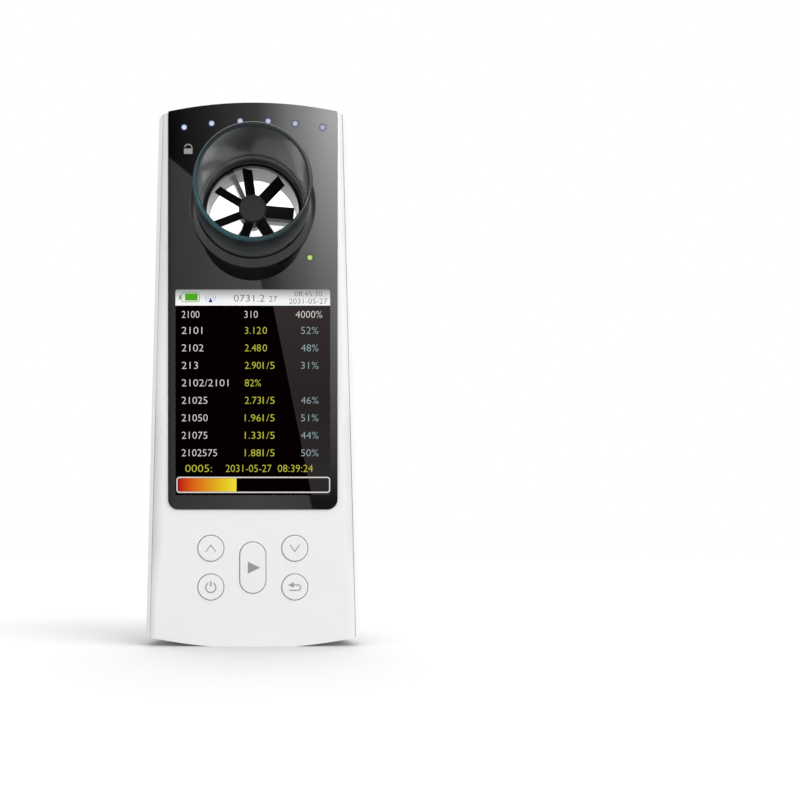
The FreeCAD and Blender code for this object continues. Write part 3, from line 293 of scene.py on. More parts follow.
def panel_acrylic():
    """Back-printed acrylic: black all over, with a clear window in front of the display."""
    made, tree = material("panel_acrylic_look")
    axes = axes_of(tree)
    # the window widens towards the panel's back, so that its side never cuts into a slanting view
    deep = ranged(tree, axes[1], PANEL_FRONT, PANEL_BACK, 0.0, BACK_MARGIN)
    sideways = math_node(tree, "SUBTRACT", math_node(tree, "ABSOLUTE", axes[0]), deep)
    from_middle = math_node(tree, "ABSOLUTE", math_node(tree, "SUBTRACT", axes[2], WINDOW_MIDDLE))
    upright = math_node(tree, "SUBTRACT", from_middle, deep)
    window = math_node(tree, "MULTIPLY", step_below(tree, sideways, WINDOW_HALF, WINDOW_EDGE),
                       step_below(tree, upright, WINDOW_HIGH - WINDOW_MIDDLE, WINDOW_EDGE))
    fine = noise(tree, 400.0, 2.0)
    printed = add(tree, "ShaderNodeBsdfPrincipled",
                  Base_Color=mixed(tree, fine, (0.0015, 0.0015, 0.0018), (0.003, 0.003, 0.0035)),
                  Roughness=remap(tree, fine, 0.015, 0.03), IOR=ACRYLIC_IOR)
    fresnel = add(tree, "ShaderNodeFresnel", IOR=ACRYLIC_IOR)
    weak = math_node(tree, "MAXIMUM", math_node(tree, "SUBTRACT", fresnel.outputs[0], WINDOW_SHEEN), 0.0)
    see = add(tree, "ShaderNodeBsdfTransparent", Color=(0.93, 0.94, 0.95, 1))
    gloss = add(tree, "ShaderNodeBsdfGlossy", Roughness=0.02)
    clear = layered(tree, weak, see.outputs[0], gloss.outputs[0])
    finish_material(tree, layered(tree, window, printed.outputs[0], clear))
    return made


DOT_GRAIN = 5000.0


def glowing(name, colour):
    """Backlit picture colour with a faint grain."""
    made, tree = material(name)
    level = remap(tree, noise(tree, DOT_GRAIN, 0.0), 0.94, 1.06)
    shader = add(tree, "ShaderNodeEmission", Color=(*colour, 1), Strength=level)
    finish_material(tree, shader.outputs[0])
    return made


def from_axis(tree, axes):
    """Distance from the turbine's axis."""
    up = math_node(tree, "SUBTRACT", axes[2], PORT_Z)
    square = math_node(tree, "ADD", math_node(tree, "MULTIPLY", axes[0], axes[0]),
                       math_node(tree, "MULTIPLY", up, up))
    return math_node(tree, "SQRT", square)


def tube_with_painted_light():
    """Mouth coloured with painted reflection and shade round its axis, a rim with a painted teal glint, and
    a pale tail whose bore has a painted white glow round the rotor.
    """
    made, tree = material("clear_tube_look")
    axes = axes_of(tree)
    fine = noise(tree, 900.0, 2.0)
    radius = from_axis(tree, axes)
    side = math_node(tree, "DIVIDE", axes[0], radius)
    up = math_node(tree, "DIVIDE", math_node(tree, "SUBTRACT", axes[2], PORT_Z), radius)
    deep = ranged(tree, axes[1], TUBE_LOW[1], PAINTED_MOUTH_END)
    # painted reflection and shade: how pale the wall is painted round its upper and lower half, and from its
    # mouth to the frame
    upper = ramped(tree, side, [-1.0, -0.75, -0.3, 0.0, 0.4, 0.8, 1.0],
                   [0.16, 0.24, 0.10, 0.06, 0.10, 0.13, 0.07])
    upper = math_node(tree, "MULTIPLY", upper,
                      ramped(tree, deep, [0.0, 0.35, 0.7, 1.0], [0.9, 0.75, 1.0, 0.5]))
    lower = ramped(tree, side, [-1.0, -0.6, 0.0, 0.6, 1.0], [0.10, 0.12, 0.085, 0.12, 0.16])
    lower = math_node(tree, "MULTIPLY", lower,
                      ramped(tree, deep, [0.0, 0.15, 0.6, 0.8, 1.0], [0.1, 0.2, 1.0, 0.5, 0.2]))
    half = ranged(tree, up, -0.45, -0.1)
    level = add(tree, "ShaderNodeMix", set_data_type="FLOAT")
    for key, link in (("Factor", half), ("A", lower), ("B", upper)):
        tree.links.new(link, level.inputs[key])
    shade = mixed(tree, level.outputs["Result"], (0.004, 0.006, 0.008), (0.98, 1.0, 1.0))
    # painted glint: the rim's dark teal turns bright teal towards the lower left
    corner = math_node(tree, "MULTIPLY", math_node(tree, "ADD", side, up), -0.7)
    teal_with_painted_glint = mixed(tree, corner, (0.004, 0.009, 0.011), (0.012, 0.07, 0.09))
    rim = step_below(tree, axes[1], TUBE_LOW[1] + TUBE_RIM, TUBE_RIM_SOFT)
    body = add(tree, "ShaderNodeBsdfPrincipled", Base_Color=mixed(tree, rim, shade, teal_with_painted_glint),
               Roughness=remap(tree, fine, 0.22, 0.28), IOR=ACRYLIC_IOR, Specular_IOR_Level=0.25)
    glass = add(tree, "ShaderNodeBsdfPrincipled",
                Base_Color=mixed(tree, fine, (0.20, 0.24, 0.25), (0.24, 0.28, 0.29)),
                Roughness=remap(tree, fine, 0.03, 0.06), IOR=1.45, Specular_IOR_Level=0.3)
    glass.inputs["Transmission Weight"].default_value = 1.0
    # the mouth is mostly the painted colour, over a little clear glass
    mouth = layered(tree, PAINTED_MOUTH_SHARE, glass.outputs[0], body.outputs[0])
    # painted light: the tail glows white inside its bore, standing in for daylight seen through it
    bore = step_below(tree, radius, TAIL_MIDDLE, TAIL_SOFT)
    tail = add(tree, "ShaderNodeBsdfPrincipled",
               Base_Color=mixed(tree, fine, (0.70, 0.71, 0.72), (0.76, 0.77, 0.78)),
               Roughness=remap(tree, fine, 0.30, 0.36), Specular_IOR_Level=0.25, Emission_Color=(1, 1, 1, 1),
               Emission_Strength=math_node(tree, "MULTIPLY", bore, TAIL_PAINTED_GLOW)).outputs[0]
    front = step_below(tree, axes[1], PAINTED_MOUTH_END, PAINTED_MOUTH_SOFT)
    finish_material(tree, layered(tree, front, tail, mouth))
    return made


def frame_black():
    """Gloss black lip in front of a paler grey bore."""
    made, tree = material("black_gloss_frame_look")
    axes = axes_of(tree)
    fine = noise(tree, 1500.0, 3.0)
    lip = step_below(tree, axes[1], FRAME_LOW[1] + FRAME_LIP, FRAME_LIP_SOFT)
    bore = mixed(tree, fine, (0.30, 0.30, 0.31), (0.36, 0.36, 0.37))
    shader = add(tree, "ShaderNodeBsdfPrincipled", Base_Color=mixed(tree, lip, bore, (0.006, 0.006, 0.007)),
                 Roughness=remap(tree, fine, 0.16, 0.24), Specular_IOR_Level=0.3)
    finish_material(tree, shader.outputs[0])
    return made


def rotor_black():
    """Matt black blades with a lighter hub."""
    made, tree = material("black_matte_look")
    axes = axes_of(tree)
    fine = noise(tree, 2000.0, 4.0)
    hub = step_below(tree, from_axis(tree, axes), HUB_RADIUS, HUB_SOFT)
    blade_colour = mixed(tree, fine, (0.0015, 0.0015, 0.002), (0.004, 0.004, 0.0045))
    hub_colour = mixed(tree, fine, (0.026, 0.026, 0.026), (0.032, 0.032, 0.032))
    shader = add(tree, "ShaderNodeBsdfPrincipled", Base_Color=mixed(tree, hub, blade_colour, hub_colour),
                 Roughness=remap(tree, fine, 0.35, 0.45), Normal=bump(tree, fine, 0.3, PLASTIC_GRAIN),
                 Specular_IOR_Level=0.12)
    finish_material(tree, shader.outputs[0])
    return made


WHITE = case_plastic("white_abs_look", (0.80, 0.80, 0.80), (0.83, 0.83, 0.83))
KEY = plastic("key_white_look", (0.79, 0.79, 0.795), (0.82, 0.82, 0.825), 0.42, 3000.0, 0.2, 0.35)
TAPE = plastic("black_tape_look", (0.002, 0.002, 0.002), (0.004, 0.004, 0.004), 0.7, 3000.0, 0.3)
GLOSS_BLACK = plastic("black_gloss_look", (0.006, 0.006, 0.007), (0.012, 0.012, 0.013), 0.12, 1500.0, 0.1)
MATT_BLACK = rotor_black()
SILICONE = plastic("silicone_look", (0.10, 0.10, 0.10), (0.16, 0.16, 0.16), 0.6, 1500.0, 0.3)
FOAM = plastic("foam_look", (0.01, 0.01, 0.01), (0.03, 0.03, 0.03), 0.9, 4000.0, 0.8)
FLEX = plastic("flex_film_look", (0.45, 0.22, 0.04), (0.60, 0.30, 0.06), 0.35, 800.0, 0.1)
BOARD = plastic("circuit_board_look", (0.01, 0.10, 0.035), (0.02, 0.16, 0.06), 0.35, 1200.0, 0.3)
WRAP = plastic("battery_wrap_look", (0.08, 0.18, 0.36), (0.12, 0.24, 0.44), 0.3, 700.0, 0.2)
CHIP = plastic("chip_look", (0.01, 0.01, 0.01), (0.02, 0.02, 0.02), 0.5, 2500.0, 0.3)
STEEL = metal("steel_look", (0.45, 0.45, 0.46), (0.62, 0.62, 0.63), 0.3)
BRASS = metal("brass_look", (0.55, 0.40, 0.15), (0.70, 0.53, 0.22), 0.3)
TUBE = tube_with_painted_light()
GUIDE = clear_plastic("light_guide_look", (0.95, 0.95, 0.95), 0.1)
PANEL = panel_acrylic()
SCREEN = plastic("display_glass_look", (0.004, 0.004, 0.004), (0.006, 0.006, 0.006), 0.2, 800.0, 0.05)

LOOKS = {
    "front_cover": WHITE, "rear_cover": WHITE,
    "front_panel": PANEL, "panel_tape": TAPE,
    "lock_ring": GLOSS_BLACK, "rotor": MATT_BLACK, "turbine_frame": frame_black(),
    "turbine_tube": TUBE, "axle_pin": STEEL, "rotor_bush": BRASS, "port_gasket": SILICONE,
    "key_up": KEY, "key_down": KEY, "key_power": KEY, "key_back": KEY, "key_start": KEY,
    "plunger_up": CHIP, "plunger_down": CHIP, "plunger_power": CHIP, "plunger_back": CHIP,
    "plunger_start": CHIP, "switch_bodies": STEEL,
    "display_gasket": FOAM, "display_glass": SCREEN, "display_backlight": STEEL, "display_flex": FLEX,
    "main_board": BOARD, "main_chips": CHIP, "radio_module": STEEL, "buzzer": CHIP,
    "charge_socket": STEEL, "battery_plug": KEY, "ir_emitter": CHIP, "ir_receiver": CHIP,
    "breath_lamps": KEY, "status_lamp": KEY, "light_guide": GUIDE, "status_guide": GUIDE,
    "battery_cell": WRAP, "battery_guard": BOARD, "battery_pad": FOAM,
    "case_screws": STEEL, "board_screws": STEEL,
}
for name, look in LOOKS.items():
    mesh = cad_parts[name].data
    mesh.materials.clear()
    mesh.materials.append(look)


# moulded edges are rounded, so that each one catches a thin line of light


ROUND_WIDE = {
    "lock_ring": 0.2 * MM, "turbine_frame": 0.2 * MM, "front_panel": 0.15 * MM, "turbine_tube": 0.15 * MM,
    "key_up": 0.15 * MM, "key_down": 0.15 * MM, "key_power": 0.15 * MM, "key_back": 0.15 * MM,
    "key_start": 0.15 * MM,
}
ROUND_STEPS = 2
LEAST_CORNER = 40

for name, wide in ROUND_WIDE.items():
    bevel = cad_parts[name].modifiers.new("rounded_edges", "BEVEL")
    bevel.width = wide
    bevel.segments = ROUND_STEPS
    bevel.limit_method = "ANGLE"
    bevel.angle_limit = math.radians(LEAST_CORNER)


# flat artwork: each sheet of one colour is built up from outlines, then made into one mesh


def linear(red, green, blue):
    """Shader colour from a screen colour of 0 to 255."""
    return tuple((level / 255) ** 2.2 for level in (red, green, blue))


ARC_STEP = 12
LEAST_TURN = 0.4


class Sheet:
    """Flat shapes of one look that lie at one level, seen from the front."""

    def __init__(self, name, level, look, slot, body):
        self.name = name
        self.level = level
        self.look = look
        self.slot = slot
        self.body = body
        self.points = []
        self.faces = []

    def outline(self, corners):
        """Filled outline from (x, z) corners in metres."""
        first = len(self.points)
        self.points += [(x, self.level, z) for x, z in corners]
        self.faces.append(tuple(range(first, first + len(corners))))

    def rectangle(self, left, low, right, high):
        self.outline([(left, low), (right, low), (right, high), (left, high)])

    def band(self, near, far):
        """Strip between two rows of as many points."""
        first = len(self.points)
        count = len(near)
        self.points += [(x, self.level, z) for x, z in near] + [(x, self.level, z) for x, z in far]
        for index in range(count - 1):
            self.faces.append((first + index, first + index + 1, first + count + index + 1,
                               first + count + index))

    def stroke(self, route, wide):
        """Line of one width along a route of points, with mitred turns."""
        near = []
        far = []
        for index, point in enumerate(route):
            before = route[max(index - 1, 0)]
            after = route[min(index + 1, len(route) - 1)]
            first = Vector((point[0] - before[0], point[1] - before[1]))
            last = Vector((after[0] - point[0], after[1] - point[1]))
            first = (first if first.length else last).normalized()
            last = (last if last.length else first).normalized()
            along = (first + last).normalized()
            side = Vector((-along[1], along[0])) * (wide / 2 / max(along.dot(first), LEAST_TURN))
            near.append((point[0] - side[0], point[1] - side[1]))
            far.append((point[0] + side[0], point[1] + side[1]))
        self.band(near, far)

    def arc(self, x, z, radius, start, end, wide):
        self.stroke(arc_points(x, z, radius, start, end), wide)

    def figures(self, written, left, low, wide, high, thin):
        """Numerals that fill a place of that width and height."""
        curve = bpy.data.curves.new("figures", "FONT")
        curve.body = written
        curve.resolution_u = 3
        curve.offset = -thin
        holder = bpy.data.objects.new("figures", curve)
        bpy.context.collection.objects.link(holder)
        bpy.context.view_layer.update()
        shaped = holder.evaluated_get(bpy.context.evaluated_depsgraph_get())
        mesh = bpy.data.meshes.new_from_object(shaped)
        xs = [vertex.co.x for vertex in mesh.vertices]
        ys = [vertex.co.y for vertex in mesh.vertices]
        grow_x = wide / (max(xs) - min(xs))
        grow_z = high / (max(ys) - min(ys))
        first = len(self.points)
        for vertex in mesh.vertices:
            self.points.append((left + (vertex.co.x - min(xs)) * grow_x, self.level,
                                low + (vertex.co.y - min(ys)) * grow_z))
        self.faces += [tuple(first + corner for corner in face.vertices) for face in mesh.polygons]
        bpy.data.objects.remove(holder)
        bpy.data.meshes.remove(mesh)
        bpy.data.curves.remove(curve)

    def make(self):
        mesh = bpy.data.meshes.new(self.name)
        mesh.from_pydata(self.points, [], self.faces)
        mesh.materials.append(self.look)
        made = bpy.data.objects.new(self.name, mesh)
        bpy.context.collection.objects.link(made)
        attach(made, self.body)
        return made


def arc_points(x, z, radius, start, end):
    """Points on an arc, from one angle to another in degrees, anticlockwise from +X."""
    count = max(2, math.ceil(abs(end - start) / ARC_STEP) + 1)
    points = []
    for index in range(count):
        turn = math.radians(start + (end - start) * index / (count - 1))
        points.append((x + radius * math.cos(turn), z + radius * math.sin(turn)))
    return points


def rounded(left, low, right, high, corner):
    """Outline of a rectangle with round corners."""
    return (arc_points(right - corner, low + corner, corner, -90, 0)
            + arc_points(right - corner, high - corner, corner, 0, 90)
            + arc_points(left + corner, high - corner, corner, 90, 180)
            + arc_points(left + corner, low + corner, corner, 180, 270))


# display picture: sizes and places in mm on the panel, with heights from the floor

PICTURE_LEVEL = PANEL_FRONT + 0.25 * MM
GLASS_SCALE = (PICTURE_LEVEL - EYE_Y) / (PANEL_FRONT - EYE_Y)
SLICE = 0.03 * MM
PICTURE_HALF = 21.71
PICTURE_LOW = 42.61
PICTURE_HIGH = 100.28
HEADER_LOW = 95.65
# edges of the painted reflection: a paler wedge drawn into the picture at its right
SHEEN_TOP_X = 5.69
SHEEN_LOW_X = 16.49
LINE_TALL = 1.96
FIRST_LINE = 87.69
LINE_PITCH = 4.9
LINE_LEFTS = (-19.92, -2.22, 13.52)
UNIT_LEFT = 2.78
SECOND_WIDE = 4.49
THIRD_WIDE = 4.88
HEADS_FOOT = 92.17
TIME_FOOT = 48.98
TIME_TALL = 2.02
FIGURE_THIN = 0.012
SHEEN_SPARE = 0.6 * MM
HEADER_CORNER = 0.8 * MM
FRAME_CORNER = 0.7 * MM
FRAME_LINE = 0.35 * MM
CELL_CORNER = 0.75 * MM
CELL_LINE = 0.18 * MM
MAST_X = -11.84
WAVE_LINE = 0.28 * MM
WAVE_HALF_ANGLE = 50


def on_glass(x, z):
    """Place on the picture that lines up, for the camera, with a place on the panel in mm."""
    return x * MM * GLASS_SCALE, EYE_Z + (z * MM - EYE_Z) * GLASS_SCALE


def graded(name, low, high, colours, axis):
    """Backlit colours in turn from one place to another along x (0) or z (2)."""
    made, tree = material(name)
    axes = axes_of(tree)
    ramp = tree.nodes.new("ShaderNodeValToRGB")
    tree.links.new(ranged(tree, axes[axis], low, high), ramp.inputs[0])
    stops = ramp.color_ramp.elements
    for index, colour in enumerate(colours):
        place = index / (len(colours) - 1)
        stop = stops[index] if index < 2 else stops.new(place)
        stop.position = place
        stop.color = (*linear(*colour), 1)
    dots = remap(tree, noise(tree, DOT_GRAIN, 0.0), 0.97, 1.03)
    shader = add(tree, "ShaderNodeEmission", Color=ramp.outputs[0], Strength=dots)
    finish_material(tree, shader.outputs[0])
    return made


def picture(name, layer, look):
    return Sheet(name, PICTURE_LEVEL - layer * SLICE, look, "display_glass", "housing")


def write(sheet, written, left, foot, wide, tall):
    """Numerals from a left end and a foot line, with their size, in mm."""
    x, z = on_glass(left, foot)
    sheet.figures(written, x, z, wide * MM * GLASS_SCALE, tall * MM * GLASS_SCALE, FIGURE_THIN)


def make_background():
    """Dark picture with a paler wedge at the right, a painted reflection of glare on the panel, and a header
    strip.
    """
    left, high = on_glass(-PICTURE_HALF, PICTURE_HIGH)
    right, low = on_glass(PICTURE_HALF, PICTURE_LOW)
    header_low = on_glass(0, HEADER_LOW)[1]
    sheen_top = on_glass(SHEEN_TOP_X, HEADER_LOW)
    sheen_low = on_glass(SHEEN_LOW_X, PICTURE_LOW)
    dark = picture("picture_dark", 1, glowing("picture_dark_look", linear(14, 6, 8)))
    dark.outline([(left - SHEEN_SPARE, low - SHEEN_SPARE), (sheen_low[0], low - SHEEN_SPARE), sheen_low,
                  sheen_top, (left - SHEEN_SPARE, header_low)])
    dark.make()
    # painted reflection: grey glare drawn into the picture as a wedge
    wedge = [(50, 47, 47), (47, 42, 42), (56, 50, 50)]
    painted_glare = picture("picture_painted_glare", 1, graded("picture_painted_glare_look", low, header_low, wedge, 2))
    painted_glare.outline([(sheen_low[0], low - SHEEN_SPARE), (right + SHEEN_SPARE, low - SHEEN_SPARE),
                   (right + SHEEN_SPARE, header_low), sheen_top, sheen_low])
    painted_glare.make()
    strip = [(255, 255, 255), (248, 248, 248), (205, 205, 205), (150, 150, 148)]
    header = picture("picture_header", 1, graded("picture_header_look", header_low, high, strip, 2))
    top = high - HEADER_CORNER
    header.outline([(left, header_low), (right, header_low)]
                   + arc_points(right - HEADER_CORNER, top, HEADER_CORNER, 0, 90)
                   + arc_points(left + HEADER_CORNER, top, HEADER_CORNER, 90, 180))
    header.make()


def make_figures():
    """Header, table and foot lines: plain numerals only."""
    white = picture("picture_white", 3, glowing("picture_white_look", linear(222, 218, 214)))
    yellow = picture("picture_yellow", 3, glowing("picture_yellow_look", linear(196, 196, 70)))
    cyan = picture("picture_cyan", 3, glowing("picture_cyan_look", linear(150, 170, 172)))
    grey = picture("picture_grey", 3, glowing("picture_grey_look", linear(86, 84, 84)))
    # header: what is written, its left end, its foot, its width and its height
    header = [
        ("0731.2", -5.3, 96.72, 8.58, 1.94),
        ("27", 4.54, 96.72, 2.24, 1.57),
        ("08:45:30", 11.73, 98.23, 7.69, 1.46),
        ("2031-05-27", 10.15, 96.13, 10.72, 1.46),
    ]
    for written, left, foot, wide, tall in header:
        write(grey, written, left, foot, wide, tall)
    # heads of the columns: what is written, its left end and its width
    for written, left, wide in (("2100", -19.92, 4.94), ("310", -2.36, 3.76), ("4000%", 12.0, 7.46)):
        write(white, written, left, HEADS_FOOT, wide, LINE_TALL)
    # lines of the table: first column and its width, second column and its unit, third column
    lines = [
        ("2101", 5.75, "3.12", "0", "52%"),
        ("2102", 6.11, "2.48", "0", "48%"),
        ("213", 4.54, "2.90", "1/5", "31%"),
        ("2102/2101", 13.07, "82%", "", ""),
        ("21025", 7.18, "2.73", "1/5", "46%"),
        ("21050", 7.29, "1.96", "1/5", "51%"),
        ("21075", 7.18, "1.33", "1/5", "44%"),
        ("2102575", 9.87, "1.88", "1/5", "50%"),
    ]
    unit_wide = {"0": 1.18, "1/5": 3.31}
    for index, (first, first_wide, second, unit, third) in enumerate(lines):
        foot = FIRST_LINE - index * LINE_PITCH
        write(white, first, LINE_LEFTS[0], foot, first_wide, LINE_TALL)
        write(yellow, second, LINE_LEFTS[1], foot, SECOND_WIDE, LINE_TALL)
        if unit:
            write(yellow, unit, UNIT_LEFT, foot, unit_wide[unit], LINE_TALL)
        if third:
            write(cyan, third, LINE_LEFTS[2], foot, THIRD_WIDE, LINE_TALL)
    time_line = [("0005:", -18.91, 7.46), ("2031-05-27", -7.57, 12.79), ("08:39:24", 7.01, 9.82)]
    for written, left, wide in time_line:
        write(yellow, written, left, TIME_FOOT, wide, TIME_TALL)
    frame_left, frame_low = on_glass(-21.23, 43.28)
    frame_right, frame_high = on_glass(21.54, 47.46)
    border = rounded(frame_left, frame_low, frame_right, frame_high, FRAME_CORNER)
    white.stroke(border + border[:1], FRAME_LINE)
    for sheet in (white, yellow, cyan, grey):
        sheet.make()


def make_symbols():
    """Level bar, battery and radio marks."""
    fill_left, fill_low = on_glass(-20.84, 43.51)
    fill_right, fill_high = on_glass(-4.57, 47.21)
    heat = [(186, 28, 26), (222, 88, 30), (228, 128, 30), (232, 166, 38), (236, 200, 40), (250, 230, 60)]
    fill = picture("picture_bar", 2, graded("picture_bar_look", fill_left, fill_right, heat, 0))
    fill.rectangle(fill_left, fill_low, fill_right, fill_high)
    green = picture("picture_green", 2, glowing("picture_green_look", linear(84, 168, 40)))
    green.rectangle(*on_glass(-18.99, 97.05), *on_glass(-15.46, 98.99))
    cell_left, cell_low = on_glass(-20.03, 96.69)
    cell_right, cell_high = on_glass(-14.92, 99.27)
    shell = rounded(cell_left, cell_low, cell_right, cell_high, CELL_CORNER)
    green.stroke(shell + shell[:1], CELL_LINE)
    green.rectangle(*on_glass(-20.67, 97.33), *on_glass(-20.2, 98.48))
    navy = picture("picture_navy", 2, glowing("picture_navy_look", linear(38, 44, 112)))
    navy.outline([on_glass(MAST_X - 0.56, 96.55), on_glass(MAST_X + 0.56, 96.55), on_glass(MAST_X, 97.87)])
    pale = picture("picture_pale", 2, glowing("picture_pale_look", linear(186, 188, 216)))
    centre = on_glass(MAST_X, 98.15)
    for radius in (0.75 * MM, 1.45 * MM):
        for middle in (0, 180):
            pale.arc(*centre, radius, middle - WAVE_HALF_ANGLE, middle + WAVE_HALF_ANGLE, WAVE_LINE)
    for sheet in (fill, green, navy, pale):
        sheet.make()


make_background()
make_figures()
make_symbols()


# icons on the keys, printed on each cap and moving with it

PRINT_THICK = 0.01 * MM
KEY_PLACES = {}
for key_name in ("up", "down", "power", "back", "start"):
    low_corner, high_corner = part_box(f"key_{key_name}")
    KEY_PLACES[key_name] = ((low_corner[0] + high_corner[0]) / 2, low_corner[1] - PRINT_THICK,
                            (low_corner[2] + high_corner[2]) / 2)
PRINT = plastic("key_print_look", linear(140, 142, 143), linear(154, 156, 157), 0.6, 1500.0, 0.1, 0.2)
# line widths, and icon points in mm from the middle of the key

THIN = 0.27 * MM
HOOK_LINE = 0.33 * MM
BROAD = 0.36 * MM
UP_POINTS = [(-1.42, -1.0), (0, 0.9), (1.42, -1.0)]
DOWN_POINTS = [(-1.35, 1.0), (0, -0.9), (1.35, 1.0)]
START_POINTS = [(-1.42, 1.72), (-1.42, -1.72), (2.1, 0)]
RING_MIDDLE = (0, -0.1)
RING_RADIUS = 1.42 * MM
RING_START = 122
RING_STOP = 418
POST_LOW = (-0.2, 0.15)
POST_HIGH = (0.2, 1.65)
HEAD_POINTS = [(-1.9, 0.6), (-0.3, -0.18), (-0.3, 1.38)]
HOOK_FROM = (-0.3, 0.6)
HOOK_MIDDLE = (0.85, -0.15)
HOOK_RADIUS = 0.75 * MM
HOOK_TO = (-1.55, -0.9)


def make_key_print(name, draw):
    """Sheet on one key; draw gets the sheet and a function from icon points to places on the key."""
    x, level, z = KEY_PLACES[name]
    sheet = Sheet(f"print_{name}", level, PRINT, "key_white", f"key_{name}")
    draw(sheet, lambda points: [(x + across * MM, z + up * MM) for across, up in points])
    sheet.make()


def draw_power(sheet, on_key):
    sheet.arc(*on_key([RING_MIDDLE])[0], RING_RADIUS, RING_START, RING_STOP, BROAD)
    low, high = on_key([POST_LOW, POST_HIGH])
    sheet.rectangle(*low, *high)


def draw_back(sheet, on_key):
    sheet.outline(on_key(HEAD_POINTS))
    first, middle, last = on_key([HOOK_FROM, HOOK_MIDDLE, HOOK_TO])
    sheet.stroke([first] + arc_points(*middle, HOOK_RADIUS, 90, -90) + [last], HOOK_LINE)


def make_key_prints():
    make_key_print("up", lambda sheet, on_key: sheet.stroke(on_key(UP_POINTS), THIN))
    make_key_print("down", lambda sheet, on_key: sheet.stroke(on_key(DOWN_POINTS), THIN))
    make_key_print("power", draw_power)
    make_key_print("back", draw_back)
    make_key_print("start", lambda sheet, on_key: sheet.outline(on_key(START_POINTS)))


make_key_prints()


# lamps under the panel: a bright core in a dim halo, and the lock mark in light grey


ROW_HALF = 20 * MM
LAMP_SIDES = 24


def glow_look(name, cores, halos):
    """Light painted over the surface behind it: it fades from the middle of each lamp, and along the row,
    where the halo turns paler to the right as a painted reflection of the panel's glare.
    """
    made, tree = material(name)
    share = add(tree, "ShaderNodeAttribute", set_attribute_name="glow").outputs["Fac"]
    axes = axes_of(tree)
    along = ranged(tree, axes[0], -ROW_HALF, ROW_HALF)
    core = mixed(tree, along, cores[0], cores[1])
    # painted reflection: the halo turns paler towards the right, where the panel shows glare
    halo = mixed(tree, along, halos[0], halos[1])
    colour = mixed(tree, ranged(tree, share, 0.45, 0.85), halo, core)
    light = add(tree, "ShaderNodeEmission", Color=colour, Strength=1.0)
    clear = add(tree, "ShaderNodeBsdfTransparent")
    cover = ranged(tree, share, 0.1, 0.9)
    finish_material(tree, layered(tree, cover, clear.outputs[0], light.outputs[0]))
    return made


def lamp_glow(name, places, radii, look):
    """Rings round each lamp whose glow value runs from 1 in the middle to 0 at the rim."""
    level = PANEL_FRONT - PRINT_THICK
    points = []
    faces = []
    glow = []
    for x, z in places:
        first = len(points)
        points.append((x, level, z))
        glow.append(1.0)
        for ring, (radius, share) in enumerate(radii):
            for index in range(LAMP_SIDES):
                turn = 2 * math.pi * index / LAMP_SIDES
                points.append((x + radius * math.cos(turn), level, z + radius * math.sin(turn)))
                glow.append(share)
                after = (index + 1) % LAMP_SIDES
                here = first + 1 + ring * LAMP_SIDES
                if ring:
                    inner = here - LAMP_SIDES
                    faces.append((inner + index, inner + after, here + after, here + index))
                else:
                    faces.append((first, here + index, here + after))
    mesh = bpy.data.meshes.new(name)
    mesh.from_pydata(points, [], faces)
    values = mesh.attributes.new("glow", "FLOAT", "POINT")
    values.data.foreach_set("value", glow)
    mesh.materials.append(look)
    made = bpy.data.objects.new(name, mesh)
    bpy.context.collection.objects.link(made)
    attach(made, "housing")
    return made


# middles of the lamps, in mm: a row on a flat arc, and the status lamp by the display's corner

LAMP_PLACES = [(-19.24, 145.66), (-11.53, 146.76), (-3.53, 147.4),
               (4.32, 147.4), (11.89, 146.7), (19.61, 145.64)]
STATUS_PLACE = (16.02, 109.11)
LAMP_RADII = [(0.40 * MM, 1.0), (0.62 * MM, 0.80), (0.85 * MM, 0.45), (1.4 * MM, 0.0)]
lamp_glow("lamp_light", [(x * MM, z * MM) for x, z in LAMP_PLACES], LAMP_RADII,
          glow_look("lamp_light_look", (linear(208, 222, 244), linear(176, 180, 200)),
                    (linear(30, 32, 96), linear(104, 108, 134))))
lamp_glow("status_light", [(STATUS_PLACE[0] * MM, STATUS_PLACE[1] * MM)], LAMP_RADII,
          glow_look("status_light_look", (linear(190, 220, 130), linear(190, 220, 130)),
                    (linear(78, 96, 52), linear(78, 96, 52))))

MARK = plastic("mark_look", linear(146, 146, 144), linear(158, 158, 156), 0.6, 1500.0, 0.1, 0.1)
mark = Sheet("lock_mark", PANEL_FRONT - PRINT_THICK, MARK, "panel_acrylic", "housing")
MARK_LEFT = -19.3 * MM
MARK_RIGHT = -16.91 * MM
MARK_LOW = 138.2 * MM
MARK_HIGH = 139.69 * MM
mark.rectangle(MARK_LEFT, MARK_LOW, MARK_RIGHT, MARK_HIGH)
BAR = 0.32 * MM
BOW_HIGH = 140.87 * MM
BOW_OPEN = 165
bow = (MARK_RIGHT - MARK_LEFT - BAR) / 2
bow_x = (MARK_LEFT + MARK_RIGHT) / 2
bow_z = BOW_HIGH - bow
mark.stroke([(MARK_RIGHT - BAR / 2, MARK_HIGH)] + arc_points(bow_x, bow_z, bow, 0, BOW_OPEN), BAR)
mark.make()


# stage, light and camera


def plane(name, corners, look):
    mesh = bpy.data.meshes.new(name)
    mesh.from_pydata(corners, [], [(0, 1, 2, 3)])
    made = bpy.data.objects.new(name, mesh)
    bpy.context.collection.objects.link(made)
    mesh.materials.append(look)
    return made


# how far round the object the floor gets a painted shadow, and how much the floor is lifted where the camera
# sees it

SHADE_REACH = 80 * MM
FLOOR_LIFT = 0.10


